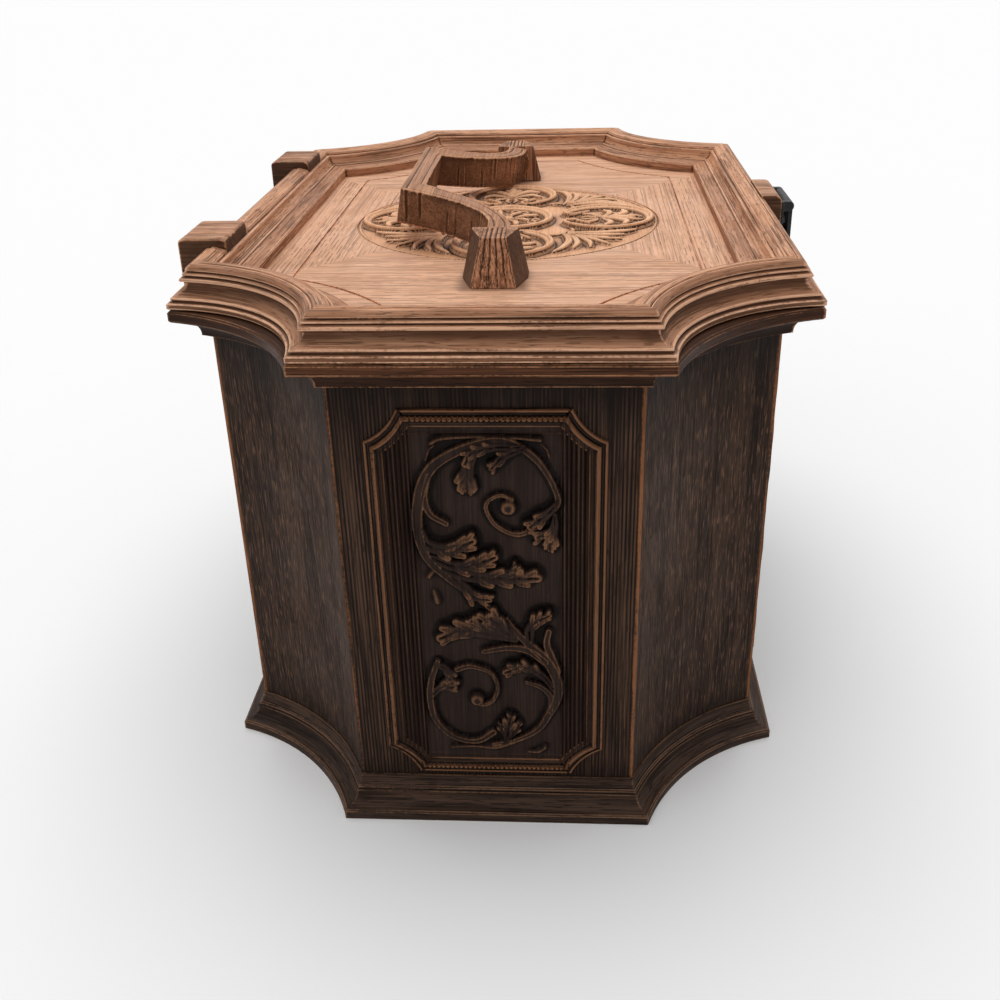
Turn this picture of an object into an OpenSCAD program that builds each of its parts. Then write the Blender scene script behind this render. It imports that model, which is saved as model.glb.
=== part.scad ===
// Carved sewing box with a hinged lid, bail handle, side latch and lift-out tray.
// Millimetres. The origin is the centre of the foot, X runs from the hinges to the latch,
// Y runs from the front end to the rear end and Z is up.

/* [Case] */
// Width of the case between its outer wall faces
case_w = 214; // [190:1:240]
// Length of the case between its outer wall faces
case_l = 332; // [300:1:370]
// Height of the case from the foot to the top of its rim
case_h = 195; // [170:1:220]
// Thickness of the case walls
wall_t = 4; // [3:0.5:6]
// Distance of each corner hollow's centre outside the wall faces
hollow_out = 36; // [30:1:42]
// Radius of the corner hollows, at the wall faces
hollow_r = 96; // [88:1:100]
// Thickness of the bottom board
bottom_t = 4; // [3:0.5:6]

/* [Mouldings] */
// Height of the foot moulding
foot_h = 16; // [14:0.5:20]
// How far the foot moulding stands out from the walls
foot_out = 9.3; // [7:0.1:11]
// Height of the rim moulding
rim_h = 11.5; // [10:0.5:14]
// How far the rim moulding stands out from the walls
rim_out = 13; // [12:0.1:14]

/* [Panels] */
// Distance of a framed panel from the upright arrises of its wall
panel_margin = 12; // [8:0.5:18]
// Height of the framed panels
panel_h = 156; // [120:1:158]
// Height of the lower edge of the panels above the foot
panel_z = 18.7; // [17:0.1:24]
// Width of the frame moulding
frame_w = 7; // [5:0.5:9]
// Thickness of the frame moulding
frame_t = 3; // [2:0.1:4]
// Radius of the frame's hollow corners
frame_notch_r = 12; // [8:1:14]
// Thickness of the carved plate in each frame
carved_t = 1.2; // [1:0.1:2]

/* [Lid] */
// Gap between the rim and the closed lid
lid_gap = 0.5; // [0.4:0.1:1]
// Height of the lid frame
lid_h = 15.5; // [14:0.5:18]
// Height of the sunken lid panel above the lid's underside
lid_panel_t = 2.7; // [2:0.1:4]
// Width of the lid frame, from its outer edge to the panel
lid_frame_w = 27; // [24:1:30]
// Distance of the lid hollows' centre outside the lid's edge
lid_hollow_out = 4.9; // [3:0.1:8]
// Radius of the lid's corner hollows, at its edge
lid_hollow_r = 62.2; // [58:0.1:66]
// Distance of the groove in the lid panel from the lid's edge
groove_in = 40; // [36:1:46]
// Diameter of the carved roundel
roundel_d = 137; // [110:1:142]
// Thickness of the lid lining
lining_t = 2; // [1.5:0.1:3]

/* [Handle] */
// Distance from the pivot to the outer face of the grip
handle_reach = 43.5; // [38:0.5:50]
// Length of the grip over its corners
grip_l = 95; // [85:1:110]
// Height of the handle bar, across the plane of the handle
bar_h = 14.5; // [12:0.5:16]
// Thickness of the handle bar at the pivots
bar_t = 9; // [8:0.5:11]
// Distance between the facing sides of the handle posts
post_gap = 170; // [160:1:176]
// Height of the posts above the lid panel
post_h = 17.8; // [16:0.1:20]
// Depth of a post at its foot
post_d = 22.5; // [20:0.5:24]
// Height of the handle pivot above the lid panel
pivot_up = 10; // [9.6:0.1:11]
// Diameter of the handle pins
handle_pin_d = 4; // [3:0.5:5]
// Angle of the handle above level, as it stands in the photograph
handle_tilt = 10.5; // [2:0.5:20]

/* [Hinges] */
// Distance of each hinge block from the middle of the box
hinge_y = 76.5; // [60:0.5:90]
// Width of a hinge block
hinge_w = 30; // [24:1:36]
// Diameter of the hinge pins
hinge_pin_d = 3; // [2.5:0.5:4]

/* [Latch] */
// Width of the latch block
latch_w = 34; // [30:1:44]
// Width of the hasp
hasp_w = 24; // [20:1:26]
// Length of the hasp below its pin
hasp_l = 18; // [16:1:26]
// Diameter of the hasp pin
hasp_pin_d = 2; // [1.5:0.5:2.5]

/* [Tray] */
// Depth of the lift-out tray
tray_h = 44; // [30:1:50]
// Thickness of the tray walls
tray_t = 2.5; // [2:0.5:4]
// Gap between the tray and the case walls
tray_gap = 1.5; // [1:0.1:3]
// Number of thread pegs
peg_n = 8; // [4:1:10]
// Diameter of a thread peg
peg_d = 6; // [4:0.5:8]
// Height of a thread peg above the tray floor
peg_h = 34; // [20:1:36]

/* [Hidden] */
$fn = 96;

fit = 0.1;               // gap between pieces that are fixed together
run = 0.3;               // gap between pieces that move past each other
pin_run = 0.05;          // radial gap round a turning pin
over = 1;                // how far a cutter runs past what it cuts

// Width of the flat part of a wall of length l, between its two hollows, and of the panel on it
function flat_w(l) = l + 2 * (hollow_out - sqrt(pow(hollow_r, 2) - pow(hollow_out, 2)));
end_panel_w = flat_w(case_w) - 2 * panel_margin;
side_panel_w = flat_w(case_l) - 2 * panel_margin;

seat_z = 3;              // shelf inside the foot that carries the shell and the bottom board
rim_z = case_h - rim_h;
shell_top = case_h - 4;
lid_over = 13;           // how far the lid's edge stands outside the case walls
lid_z = case_h + lid_gap;
panel_top = lid_z + lid_panel_t;
lid_top = lid_z + lid_h;
panel_edge = lid_frame_w - 3;   // the panel runs 3 under the lid frame
foot_ledge_in = 12;      // how far the foot's shelf reaches in under the shell

scroll_w = 3;            // width of the carved scrolls
end_scroll_r = min(0.36 * (end_panel_w - 2 * frame_w), 0.175 * (panel_h - 2 * frame_w));
end_scroll_out = 1.6 * end_scroll_r;
end_scroll_rise = 1.2;
side_scroll_x = 1.36 * end_scroll_r;
roundel_sink = 0.8;
roundel_rise = 2;
ring_r = roundel_d * 0.16;
ring_out = roundel_d * 0.315;

pivot_z = panel_top + pivot_up;
hinge_x = -(case_w / 2 + 12);
hinge_z = case_h - 3;
lug_r = 4;               // radius of the block's knuckle round the hinge pin
bracket_w = 5;           // width of each cheek of a hinge bracket
bracket_back = 2.4;      // thickness of the bracket's back plate
bracket_top = 2.7;       // height of the bracket above its pin
bracket_h = 8.8;
notch_w = hinge_w + 2 * (bracket_w + run);
notch_in = lug_r + 2 * run + bracket_back;
hinge_screw_d = 2.4;
hinge_screw_l = 5.5;
plate_t = 1;
plate_x = case_w / 2 + lid_over;
hasp_r = 2.2;
hasp_t = 2;
hasp_z = lid_top - 4.5;  // height of the hasp's pin
latch_x = plate_x + plate_t + run + hasp_r;
tray_z = case_h - 13 - tray_h;  // the tray stands 13 below the rim, clear of the lining
tray_in = wall_t + tray_gap;
ledge_w = 9;
ledge_h = 8;
screw_d = 3;
head_d = 6;

// Outline of the case, grown outwards by g, with a hollow at each corner
module case_plan(g) {
    difference() {
        square([case_w + 2 * g, case_l + 2 * g], center = true);
        for (x = [-1, 1], y = [-1, 1])
            translate([x * (case_w / 2 + hollow_out), y * (case_l / 2 + hollow_out)])
                circle(hollow_r - g);
    }
}

// Outline of the lid, grown outwards by g
module lid_plan(g) {
    difference() {
        square([case_w + 2 * (lid_over + g), case_l + 2 * (lid_over + g)], center = true);
        for (x = [-1, 1], y = [-1, 1])
            translate([x * (case_w / 2 + lid_over + lid_hollow_out), y * (case_l / 2 + lid_over + lid_hollow_out)])
                circle(lid_hollow_r - g);
    }
}

// Solid whose edge follows steps = [[growth, height], ...] from bottom to top round a plan
// of half sizes half, with corner hollows of radius r centred out beyond the edge
module moulded(steps, half, out, r) {
    low = steps[0][1];
    high = steps[len(steps) - 1][1];
    back = [for (i = [len(steps) - 1:-1:0]) steps[i]];
    hollow = concat([[0, low - over], [r - steps[0][0], low - over]], [for (s = steps) [r - s[0], s[1]]],
        [[r - back[0][0], high + over], [0, high + over]]);
    difference() {
        intersection() {
            rotate([90, 0, 0])
                linear_extrude(2 * half[1] + 60, center = true)
                    polygon(concat([for (s = steps) [half[0] + s[0], s[1]]], [for (s = back) [-half[0] - s[0], s[1]]]));
            rotate([90, 0, 90])
                linear_extrude(2 * half[0] + 60, center = true)
                    polygon(concat([for (s = steps) [half[1] + s[0], s[1]]], [for (s = back) [-half[1] - s[0], s[1]]]));
        }
        for (x = [-1, 1], y = [-1, 1])
            translate([x * (half[0] + out), y * (half[1] + out), 0])
                rotate_extrude() polygon(hollow);
    }
}

module case_moulded(steps) {
    moulded(steps, [case_w / 2, case_l / 2], hollow_out, hollow_r);
}

module lid_moulded(steps) {
    moulded(steps, [case_w / 2 + lid_over, case_l / 2 + lid_over], lid_hollow_out, lid_hollow_r);
}

// Points of a quarter cove or ovolo from a to b, bulging towards the corner [a.x, b.y] or away from it
function quarter(a, b, n, bulge) = [for (i = [0:n]) let (t = 90 * i / n)
    bulge ? [a[0] + (b[0] - a[0]) * (1 - cos(t)), a[1] + (b[1] - a[1]) * sin(t)]
          : [a[0] + (b[0] - a[0]) * sin(t), a[1] + (b[1] - a[1]) * (1 - cos(t))]];

// Cubic curve through its two ends, with n steps
function bend(a, b, c, d, n) = [for (i = [0:n]) let (t = i / n, s = 1 - t)
    s * s * s * a + 3 * s * s * t * b + 3 * s * t * t * c + t * t * t * d];

// Case

foot_steps = concat(
    [[foot_out, 0], [foot_out, 3.4], [foot_out - 0.8, 4]],
    quarter([foot_out - 0.8, 4], [3.2, 9], 5, false),
    [[3.2, 9.6], [2.6, 9.8], [2.6, 10.6], [1.9, 11.4]],
    quarter([1.9, 11.4], [0.6, foot_h], 4, false));

module foot_moulding() {
    color("#4a3a2e")
        difference() {
            case_moulded(foot_steps);
            translate([0, 0, seat_z])
                linear_extrude(foot_h) case_plan(fit);
            translate([0, 0, -over])
                linear_extrude(foot_h) case_plan(-foot_ledge_in);
        }
}

module bottom_board() {
    color("#6b5340")
        translate([0, 0, seat_z])
            linear_extrude(bottom_t) case_plan(-wall_t - fit);
}

module case_shell() {
    color("#463a31")
        translate([0, 0, seat_z])
            linear_extrude(shell_top - seat_z)
                difference() {
                    case_plan(0);
                    case_plan(-wall_t);
                }
}

rim_steps = concat(
    [[3.4, rim_z]],
    quarter([3.4, rim_z + 0.6], [rim_out - 2, case_h - 4.6], 5, true),
    [[rim_out - 0.7, case_h - 4.4], [rim_out, case_h - 3.7], [rim_out, case_h - 0.7], [rim_out - 0.7, case_h]]);

// The recess in the rim and its cove that each hinge turns in
module hinge_notches() {
    for (y = [-1, 1])
        translate([hinge_x - 20, y * hinge_y - notch_w / 2, rim_z - over])
            cube([20 + notch_in, notch_w, rim_h + 2 * over]);
}

module rim_moulding() {
    color("#5a4435")
        difference() {
            case_moulded(rim_steps);
            translate([0, 0, rim_z - over])
                linear_extrude(shell_top - rim_z + over) case_plan(fit);
            translate([0, 0, rim_z])
                linear_extrude(rim_h + over) case_plan(-wall_t);
            hinge_notches();
            at_hinge_screws() cylinder(d = hinge_screw_d, h = hinge_screw_l);
            at_keeper_screws() keeper_screw();
        }
}

// Upright panel outline of width w standing on y = 0, drawn in by g, with a hollow at each corner
module notched(w, g) {
    difference() {
        translate([g - w / 2, g]) square([w - 2 * g, panel_h - 2 * g]);
        for (x = [-1, 1], y = [0, panel_h])
            translate([x * w / 2, y]) circle(frame_notch_r + g);
    }
}

// Puts a flat shape that faces along -Y on one of the four walls, by its turn about Z
module on_wall(turn) {
    rotate([0, 0, turn])
        translate([0, -(turn % 180 == 0 ? case_l : case_w) / 2, panel_z])
            rotate([90, 0, 0])
                children();
}

module frame_moulding(w) {
    linear_extrude(frame_t)
        difference() {
            notched(w, 0);
            notched(w, frame_w);
        }
}

// Three quarters of a ring, the other quarter being the one at its lower right
module scroll() {
    difference() {
        circle(end_scroll_r);
        circle(end_scroll_r - scroll_w);
        translate([0, -end_scroll_r - over]) square(end_scroll_r + over);
    }
}

// Upright S of two scrolls about the middle of a panel, each three quarters of a ring
module s_scroll() {
    translate([0, panel_h / 2]) {
        translate([0, end_scroll_out]) scroll();
        rotate(180) translate([0, end_scroll_out]) scroll();
    }
}

module carved_plate(w) {
    linear_extrude(carved_t) notched(w, frame_w + fit);
}

// Carving of an end panel: one S-scroll on a plain plate
module end_carving() {
    carved_plate(end_panel_w);
    linear_extrude(carved_t + end_scroll_rise) s_scroll();
}

// Carving of a side panel: an S-scroll and its mirror image
module side_carving() {
    carved_plate(side_panel_w);
    linear_extrude(carved_t + end_scroll_rise) {
        translate([side_scroll_x, 0]) s_scroll();
        mirror([1, 0]) translate([side_scroll_x, 0]) s_scroll();
    }
}

module front_frame() { color("#5e4a3a") on_wall(0) frame_moulding(end_panel_w); }
module rear_frame() { color("#5e4a3a") on_wall(180) frame_moulding(end_panel_w); }
module hinge_side_frame() { color("#5e4a3a") on_wall(270) frame_moulding(side_panel_w); }
module latch_side_frame() { color("#5e4a3a") on_wall(90) frame_moulding(side_panel_w); }
module front_carving() { color("#7a624d") on_wall(0) end_carving(); }
module rear_carving() { color("#7a624d") on_wall(180) end_carving(); }
module hinge_side_carving() { color("#7a624d") on_wall(270) side_carving(); }
module latch_side_carving() { color("#7a624d") on_wall(90) side_carving(); }

// Tray

ledge_l = case_l * 0.55;

module tray_ledges() {
    color("#8a6a4c")
        for (x = [-1, 1])
            translate([x * (case_w / 2 - wall_t - ledge_w / 2), 0, tray_z - run - ledge_h / 2])
                cube([ledge_w, ledge_l, ledge_h], center = true);
}

module tray() {
    color("#a98a66")
        translate([0, 0, tray_z])
            difference() {
                linear_extrude(tray_h) case_plan(-tray_in);
                translate([0, 0, tray_t])
                    linear_extrude(tray_h) case_plan(-tray_in - tray_t);
            }
}

tray_inner_w = case_w - 2 * (tray_in + tray_t);
tray_inner_l = case_l - 2 * (tray_in + tray_t);
divider_h = tray_h - tray_t - 2;
divider_x = 12;          // the long partition's distance towards the latch side
pegs_end = tray_inner_l * 0.32;

// Finger slot in the long partition
slot_l = 84;
slot_h = 16;

// A long partition with a finger slot, and two cross partitions on its latch side
module tray_dividers() {
    color("#9c7c58")
        translate([0, 0, tray_z + tray_t]) {
            difference() {
                translate([divider_x - tray_t / 2, -tray_inner_l / 2 + fit, 0])
                    cube([tray_t, tray_inner_l - 2 * fit, divider_h]);
                translate([divider_x, 0, divider_h - slot_h]) finger_slot();
            }
            for (y = [-1, 1])
                translate([divider_x + tray_t / 2 + fit, y * tray_inner_l / 5.5 - tray_t / 2, 0])
                    cube([tray_inner_w / 2 - divider_x - tray_t / 2 - 2 * fit, tray_t, divider_h]);
        }
}

module finger_slot() {
    cube([2 * tray_t, slot_l - slot_h, slot_h], center = true);
    for (y = [-1, 1])
        translate([0, y * (slot_l - slot_h) / 2, 0])
            rotate([0, 90, 0]) cylinder(d = slot_h, h = 2 * tray_t, center = true);
}

module thread_pegs() {
    color("#c2a27a")
        for (i = [0:peg_n - 1], x = [0, 1])
            translate([-tray_inner_w * (0.13 + 0.22 * x), -pegs_end + 2 * pegs_end * i / (peg_n - 1), tray_z + tray_t]) {
                cylinder(d = peg_d, h = peg_h - 1.5);
                translate([0, 0, peg_h - 1.5]) cylinder(d1 = peg_d, d2 = peg_d - 2.4, h = 1.5);
            }
}

// Lid

lid_outer_steps = concat(
    [[-0.6, lid_z], [0, lid_z + 0.6], [0, lid_z + 1.8], [-1.7, lid_z + 2.4], [-1.7, lid_z + 3]],
    quarter([-1.7, lid_z + 3.1], [-6.3, lid_z + 9], 6, false),
    [[-5.1, lid_z + 9.2], [-4.9, lid_z + 10], [-5.4, lid_z + 11], [-6.1, lid_z + 11.7],
     [-7.1, lid_z + 11.9], [-7.1, lid_z + 12.5]],
    quarter([-7.3, lid_z + 12.8], [-11, lid_top], 4, true));

lid_well_steps = [[-lid_frame_w, panel_top], [-lid_frame_w, panel_top + 3.9], [-lid_frame_w + 0.5, panel_top + 4.4],
    [-20.6, panel_top + 5.4], [-19.8, panel_top + 5.7], [-19.4, panel_top + 6.6], [-16.6, panel_top + 10.6],
    [-15.9, lid_top - 1.2], [-11.6, lid_top], [-11.6, lid_top + over]];

module lid_frame() {
    color("#b98f6b")
        difference() {
            lid_moulded(lid_outer_steps);
            lid_moulded(lid_well_steps);
            translate([0, 0, lid_z - over])
                linear_extrude(over + lid_panel_t) lid_plan(-panel_edge);
            hinge_block_seats();
            latch_block_seat();
        }
}

// A groove of the plan's own shape, cut g in from the lid's edge
module plan_groove(g, w, depth) {
    translate([0, 0, panel_top - depth])
        linear_extrude(depth + over)
            difference() {
                lid_plan(-g);
                lid_plan(-g - w);
            }
}

post_screw_x = 5;
post_screw_in = 8;

module at_post_screws() {
    for (x = [-1, 1], y = [-1, 1])
        translate([x * post_screw_x, y * (post_gap / 2 + post_screw_in), 0]) children();
}

module lid_panel() {
    color("#c39a76")
        difference() {
            translate([0, 0, lid_z])
                linear_extrude(lid_panel_t) lid_plan(-panel_edge - fit);
            plan_groove(groove_in, 1.4, 0.7);
            translate([0, 0, panel_top - roundel_sink]) cylinder(d = roundel_d + 2 * fit, h = over + roundel_sink);
            at_post_screws()
                translate([0, 0, lid_z - over]) cylinder(d = screw_d + 0.4, h = lid_panel_t + 2 * over);
        }
}

// Disc with five scroll rings, one in the middle and four round it
module lid_roundel() {
    color("#a87f5c")
        translate([0, 0, panel_top - roundel_sink]) {
            cylinder(d = roundel_d, h = roundel_sink);
            for (p = [[0, 0], [-1, 0], [1, 0], [0, -1], [0, 1]])
                translate([p[0] * ring_out, p[1] * ring_out, roundel_sink])
                    linear_extrude(roundel_rise)
                        difference() {
                            circle(ring_r);
                            circle(ring_r - scroll_w);
                        }
        }
}

module lid_lining() {
    color("#8c6e5a")
        translate([0, 0, lid_z - fit - lining_t])
            difference() {
                linear_extrude(lining_t) case_plan(-wall_t - 2);
                at_post_screws()
                    translate([0, 0, -over]) cylinder(d = head_d + 2, h = lining_t + 2 * over);
            }
}

// Handle

half_gap = post_gap / 2;
knuckle_l = 4;           // length of the round end at each pivot

// Half of the handle's outline in its own plane: X is the reach, Y runs along the pivot
function handle_edge() =
    let (t = bar_t / 2, r = handle_reach, g = grip_l / 2, e = half_gap - run)
    concat([[-t, e], [t, e]],
        bend([t, e - knuckle_l], [t, e - 24], [t + 12, g + 3], [r - 1.5, g], 10),
        [[r, g - 1.5], [r, 0], [r - 9, 0]],
        bend([r - 9, g - 15], [r * 0.4, g - 9], [-t, g + 6], [-t, e - knuckle_l], 10));

module handle_half() {
    linear_extrude(bar_h, center = true) polygon(handle_edge());
}

module handle() {
    color("#7c5b43")
        translate([0, 0, pivot_z])
            rotate([0, handle_tilt, 0])
                mirror([1, 0, 0])
                    difference() {
                        union() {
                            handle_half();
                            mirror([0, 1, 0]) handle_half();
                            for (y = [-1, 1])
                                translate([0, y * (half_gap - run - knuckle_l / 2), 0])
                                    rotate([90, 0, 0]) cylinder(d = bar_h, h = knuckle_l, center = true);
                        }
                        for (y = [-1, 1])
                            translate([0, y * half_gap, 0])
                                rotate([90, 0, 0]) cylinder(d = handle_pin_d + 2 * pin_run, h = 24, center = true);
                    }
}

// Half widths of a post at its foot and its top, on the side that faces the handle and at its nose
post_foot_x = 12.8;
post_top_x = 8.9;
nose_foot_x = 8.6;
nose_top_x = 4.7;
nose_rake = 6;           // how far the nose leans back over the post's height
post_plate = 8;          // depth of the part with parallel sides

module post() {
    difference() {
        intersection() {
            rotate([90, 0, 0])
                linear_extrude(post_d)
                    polygon([[-post_foot_x, 0], [post_foot_x, 0], [post_top_x, post_h], [-post_top_x, post_h]]);
            rotate([90, 0, 90])
                linear_extrude(4 * post_foot_x, center = true)
                    polygon([[0, 0], [0, post_h], [-post_d + nose_rake, post_h], [-post_d, 0]]);
            inside_facet();
            mirror([1, 0, 0]) inside_facet();
        }
        translate([0, over, pivot_up])
            rotate([90, 0, 0]) cylinder(d = handle_pin_d, h = 16 + over);
        for (x = [-1, 1])
            translate([x * post_screw_x, -post_screw_in, -over]) cylinder(d = screw_d, h = 5 + over);
    }
}

// Block that ends at the raked facet on the nose's right side
module inside_facet() {
    run_x = post_foot_x - nose_foot_x;
    run_y = post_d - post_plate;
    turn = atan(run_x / run_y);
    lean = atan(((nose_foot_x - nose_top_x) * cos(turn) + nose_rake * sin(turn)) / post_h);
    translate([nose_foot_x, -post_d, 0])
        rotate([0, 0, -turn])
            rotate([0, -lean, 0])
                translate([-60, -30, -10]) cube([60, 90, 60]);
}

module front_post() {
    color("#9a7455") translate([0, -half_gap, panel_top]) post();
}

module rear_post() {
    color("#9a7455") mirror([0, 1, 0]) translate([0, -half_gap, panel_top]) post();
}

module handle_pins() {
    color("#8f8a80")
        for (y = [-1, 1])
            translate([0, y * (half_gap + 2), pivot_z])
                rotate([90, 0, 0]) cylinder(d = handle_pin_d, h = 26, center = true);
}

module post_screws() {
    color("#b8a070")
        at_post_screws()
            translate([0, 0, lid_z - 1.5]) {
                cylinder(d = head_d, h = 1.5);
                cylinder(d = screw_d, h = 1.5 + lid_panel_t + 4.5);
            }
}

// Hinges

block_top = lid_top + 3;
block_in = 15;
block_round = 2;

module at_hinges() {
    for (y = [-1, 1]) translate([hinge_x, y * hinge_y, hinge_z]) children();
}

// Side view of a lid block about the hinge pin: a round knuckle below, the block over the lid's edge above
module block_outline() {
    top = block_top - hinge_z;
    mid = (block_in - lug_r) / 2;
    edge = quarter([block_in, top - block_round], [block_in - block_round, top], 5, true);
    circle(lug_r);
    polygon(concat([[block_in, 0]], edge, [for (i = [5:-1:0]) [2 * mid - edge[i][0], edge[i][1]]], [[-lug_r, 0]]));
}

module hinge_block() {
    rotate([90, 0, 0])
        difference() {
            linear_extrude(hinge_w, center = true)
                difference() {
                    block_outline();
                    translate([lug_r, -over]) square([30, over + lid_z - hinge_z]);
                }
            cylinder(d = hinge_pin_d + 2 * pin_run, h = hinge_w + 2 * over, center = true);
        }
}

// What the blocks take out of the lid frame
module hinge_block_seats() {
    for (y = [-1, 1])
        translate([hinge_x - 30, y * hinge_y - hinge_w / 2 - fit, lid_z - over])
            cube([30 + block_in + fit, hinge_w + 2 * fit, lid_h + 2 * over]);
}

module front_hinge_block() { color("#a77c5a") translate([hinge_x, -hinge_y, hinge_z]) hinge_block(); }
module rear_hinge_block() { color("#a77c5a") translate([hinge_x, hinge_y, hinge_z]) hinge_block(); }

// Two cheeks that hold the pin, joined by a plate against the back of the notch
module hinge_bracket() {
    difference() {
        union() {
            for (y = [-1, 1])
                translate([0, y * (notch_w / 2 - bracket_w / 2 - fit / 2), 0])
                    rotate([90, 0, 0])
                        linear_extrude(bracket_w - fit, center = true) {
                            circle(bracket_top);
                            translate([0, bracket_top - bracket_h]) square([notch_in - fit, bracket_h]);
                            translate([-bracket_top, bracket_top - bracket_h])
                                square([2 * bracket_top, bracket_h - bracket_top]);
                        }
            translate([notch_in - fit - bracket_back, -notch_w / 2 + over, bracket_top - bracket_h])
                cube([bracket_back, notch_w - 2 * over, bracket_h]);
        }
        rotate([90, 0, 0]) cylinder(d = hinge_pin_d, h = 2 * notch_w, center = true);
        at_screws_of_bracket() {
            cylinder(d = hinge_screw_d, h = hinge_screw_l);
            cylinder(d = hinge_head_d, h = hinge_head_t);
        }
    }
}

module front_hinge_bracket() { color("#54504a") translate([hinge_x, -hinge_y, hinge_z]) hinge_bracket(); }
module rear_hinge_bracket() { color("#54504a") translate([hinge_x, hinge_y, hinge_z]) hinge_bracket(); }

module hinge_pins() {
    color("#8f8a80")
        at_hinges() rotate([90, 0, 0]) cylinder(d = hinge_pin_d, h = hinge_w + 2 * bracket_w, center = true);
}

hinge_head_d = 4.4;
hinge_head_t = 1;

// The two screws of a bracket, seen from its pin, pointing into the rim
module at_screws_of_bracket() {
    for (y = [-1, 1])
        translate([notch_in - fit - bracket_back, y * hinge_w * 0.3, bracket_top - bracket_h / 2])
            rotate([0, 90, 0]) children();
}

module at_hinge_screws() {
    at_hinges() at_screws_of_bracket() children();
}

module hinge_screws() {
    color("#77736a")
        at_hinge_screws() {
            cylinder(d = hinge_head_d, h = hinge_head_t);
            cylinder(d = hinge_screw_d, h = hinge_screw_l);
        }
}

// Latch

latch_block_top = lid_top + 0.8;
latch_block_in = 9;
latch_block_round = 3.2;

module latch_block_seat() {
    translate([plate_x - latch_block_in - fit, -latch_w / 2 - fit, lid_z - over])
        cube([30, latch_w + 2 * fit, lid_h + 2 * over]);
}

module latch_block() {
    color("#a77c5a")
        difference() {
            rotate([90, 0, 0])
                linear_extrude(latch_w, center = true)
                    polygon(concat([[plate_x - latch_block_in, lid_z], [plate_x, lid_z]],
                        quarter([plate_x, latch_block_top - latch_block_round],
                            [plate_x - latch_block_round, latch_block_top], 5, true),
                        [[plate_x - latch_block_in, latch_block_top]]));
            at_latch_screws() latch_screw();
        }
}

ear_w = 3;
latch_screw_d = 2.2;
latch_screw_l = 7;
latch_head_t = 1;

module at_latch_screws() {
    for (y = [-1, 1])
        translate([plate_x + fit + plate_t, y * (latch_w / 2 - 3.2), lid_z + 5])
            rotate([0, -90, 0]) children();
}

// Screw that points away from its viewer, with its head standing on the plate
module latch_screw() {
    cylinder(d = latch_screw_d, h = latch_screw_l);
    translate([0, 0, -latch_head_t]) cylinder(d = 4, h = latch_head_t);
}

// Plate on the outer face of the latch block, with an ear at each end for the hasp's pin
module latch_plate() {
    ear_y = hasp_w / 2 + run + ear_w / 2;
    color("#2b2a2c")
        difference() {
            union() {
                translate([plate_x + fit, -latch_w / 2 + 1, lid_z + 1])
                    cube([plate_t, latch_w - 2, latch_block_top - lid_z - 1 - latch_block_round]);
                for (y = [-1, 1])
                    translate([0, y * ear_y, 0])
                        rotate([90, 0, 0])
                            linear_extrude(ear_w, center = true) {
                                translate([latch_x, hasp_z]) circle(hasp_r);
                                translate([plate_x + fit, hasp_z - hasp_r])
                                    square([latch_x - plate_x - fit, 2 * hasp_r]);
                            }
            }
            translate([latch_x, 0, hasp_z])
                rotate([90, 0, 0]) cylinder(d = hasp_pin_d, h = 2 * latch_w, center = true);
            at_latch_screws() cylinder(d = latch_screw_d, h = latch_screw_l);
        }
}

// Flap that hangs from the pin in front of the keeper, with a curled lip at its end
module hasp() {
    color("#232325")
        translate([latch_x, 0, hasp_z])
            difference() {
                rotate([90, 0, 0])
                    linear_extrude(hasp_w, center = true) {
                        circle(hasp_r);
                        translate([hasp_r - hasp_t, -hasp_l]) square([hasp_t, hasp_l]);
                        translate([hasp_r - hasp_t / 2, -hasp_l]) circle(hasp_t / 2);
                        translate([hasp_r - hasp_t / 2, -hasp_l - 0.6]) square([2.2, 1.7]);
                    }
                rotate([90, 0, 0]) cylinder(d = hasp_pin_d + 2 * pin_run, h = hasp_w + 2 * over, center = true);
            }
}

module hasp_pin() {
    color("#6f6c66")
        translate([latch_x, 0, hasp_z])
            rotate([90, 0, 0]) cylinder(d = hasp_pin_d, h = hasp_w + 2 * run + 2 * ear_w, center = true);
}

keeper_w = 16;
keeper_h = 6.5;
keeper_d = latch_x + hasp_r - hasp_t - run - plate_x;
keeper_head_d = 3.2;

// Ridge on the rim's edge that the hasp's lower end lies against
module latch_keeper() {
    color("#2b2a2c")
        difference() {
            rotate([90, 0, 0])
                linear_extrude(keeper_w, center = true)
                    translate([plate_x, case_h - 0.7])
                        polygon([[0, 0], [0, -3], [0.8, -keeper_h], [keeper_d, 1.5 - keeper_h],
                            [keeper_d, -1], [keeper_d - 1, 0]]);
            at_keeper_screws() keeper_screw();
        }
}

module at_keeper_screws() {
    for (y = [-1, 1])
        translate([plate_x + keeper_d, y * keeper_w / 3.5, case_h - 3.3])
            rotate([0, -90, 0]) children();
}

module keeper_screw() {
    cylinder(d = keeper_head_d, h = 1);
    cylinder(d = 1.8, h = keeper_d + 5);
}

module keeper_screws() {
    color("#6f6c66") at_keeper_screws() keeper_screw();
}

module latch_screws() {
    color("#6f6c66") at_latch_screws() latch_screw();
}

foot_moulding();
bottom_board();
case_shell();
rim_moulding();
front_frame();
rear_frame();
hinge_side_frame();
latch_side_frame();
front_carving();
rear_carving();
hinge_side_carving();
latch_side_carving();
tray_ledges();
tray();
tray_dividers();
thread_pegs();
lid_frame();
lid_panel();
lid_roundel();
lid_lining();
handle();
front_post();
rear_post();
handle_pins();
post_screws();
front_hinge_block();
rear_hinge_block();
front_hinge_bracket();
rear_hinge_bracket();
hinge_pins();
hinge_screws();
latch_block();
latch_plate();
hasp();
hasp_pin();
latch_keeper();
keeper_screws();
latch_screws();
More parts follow.
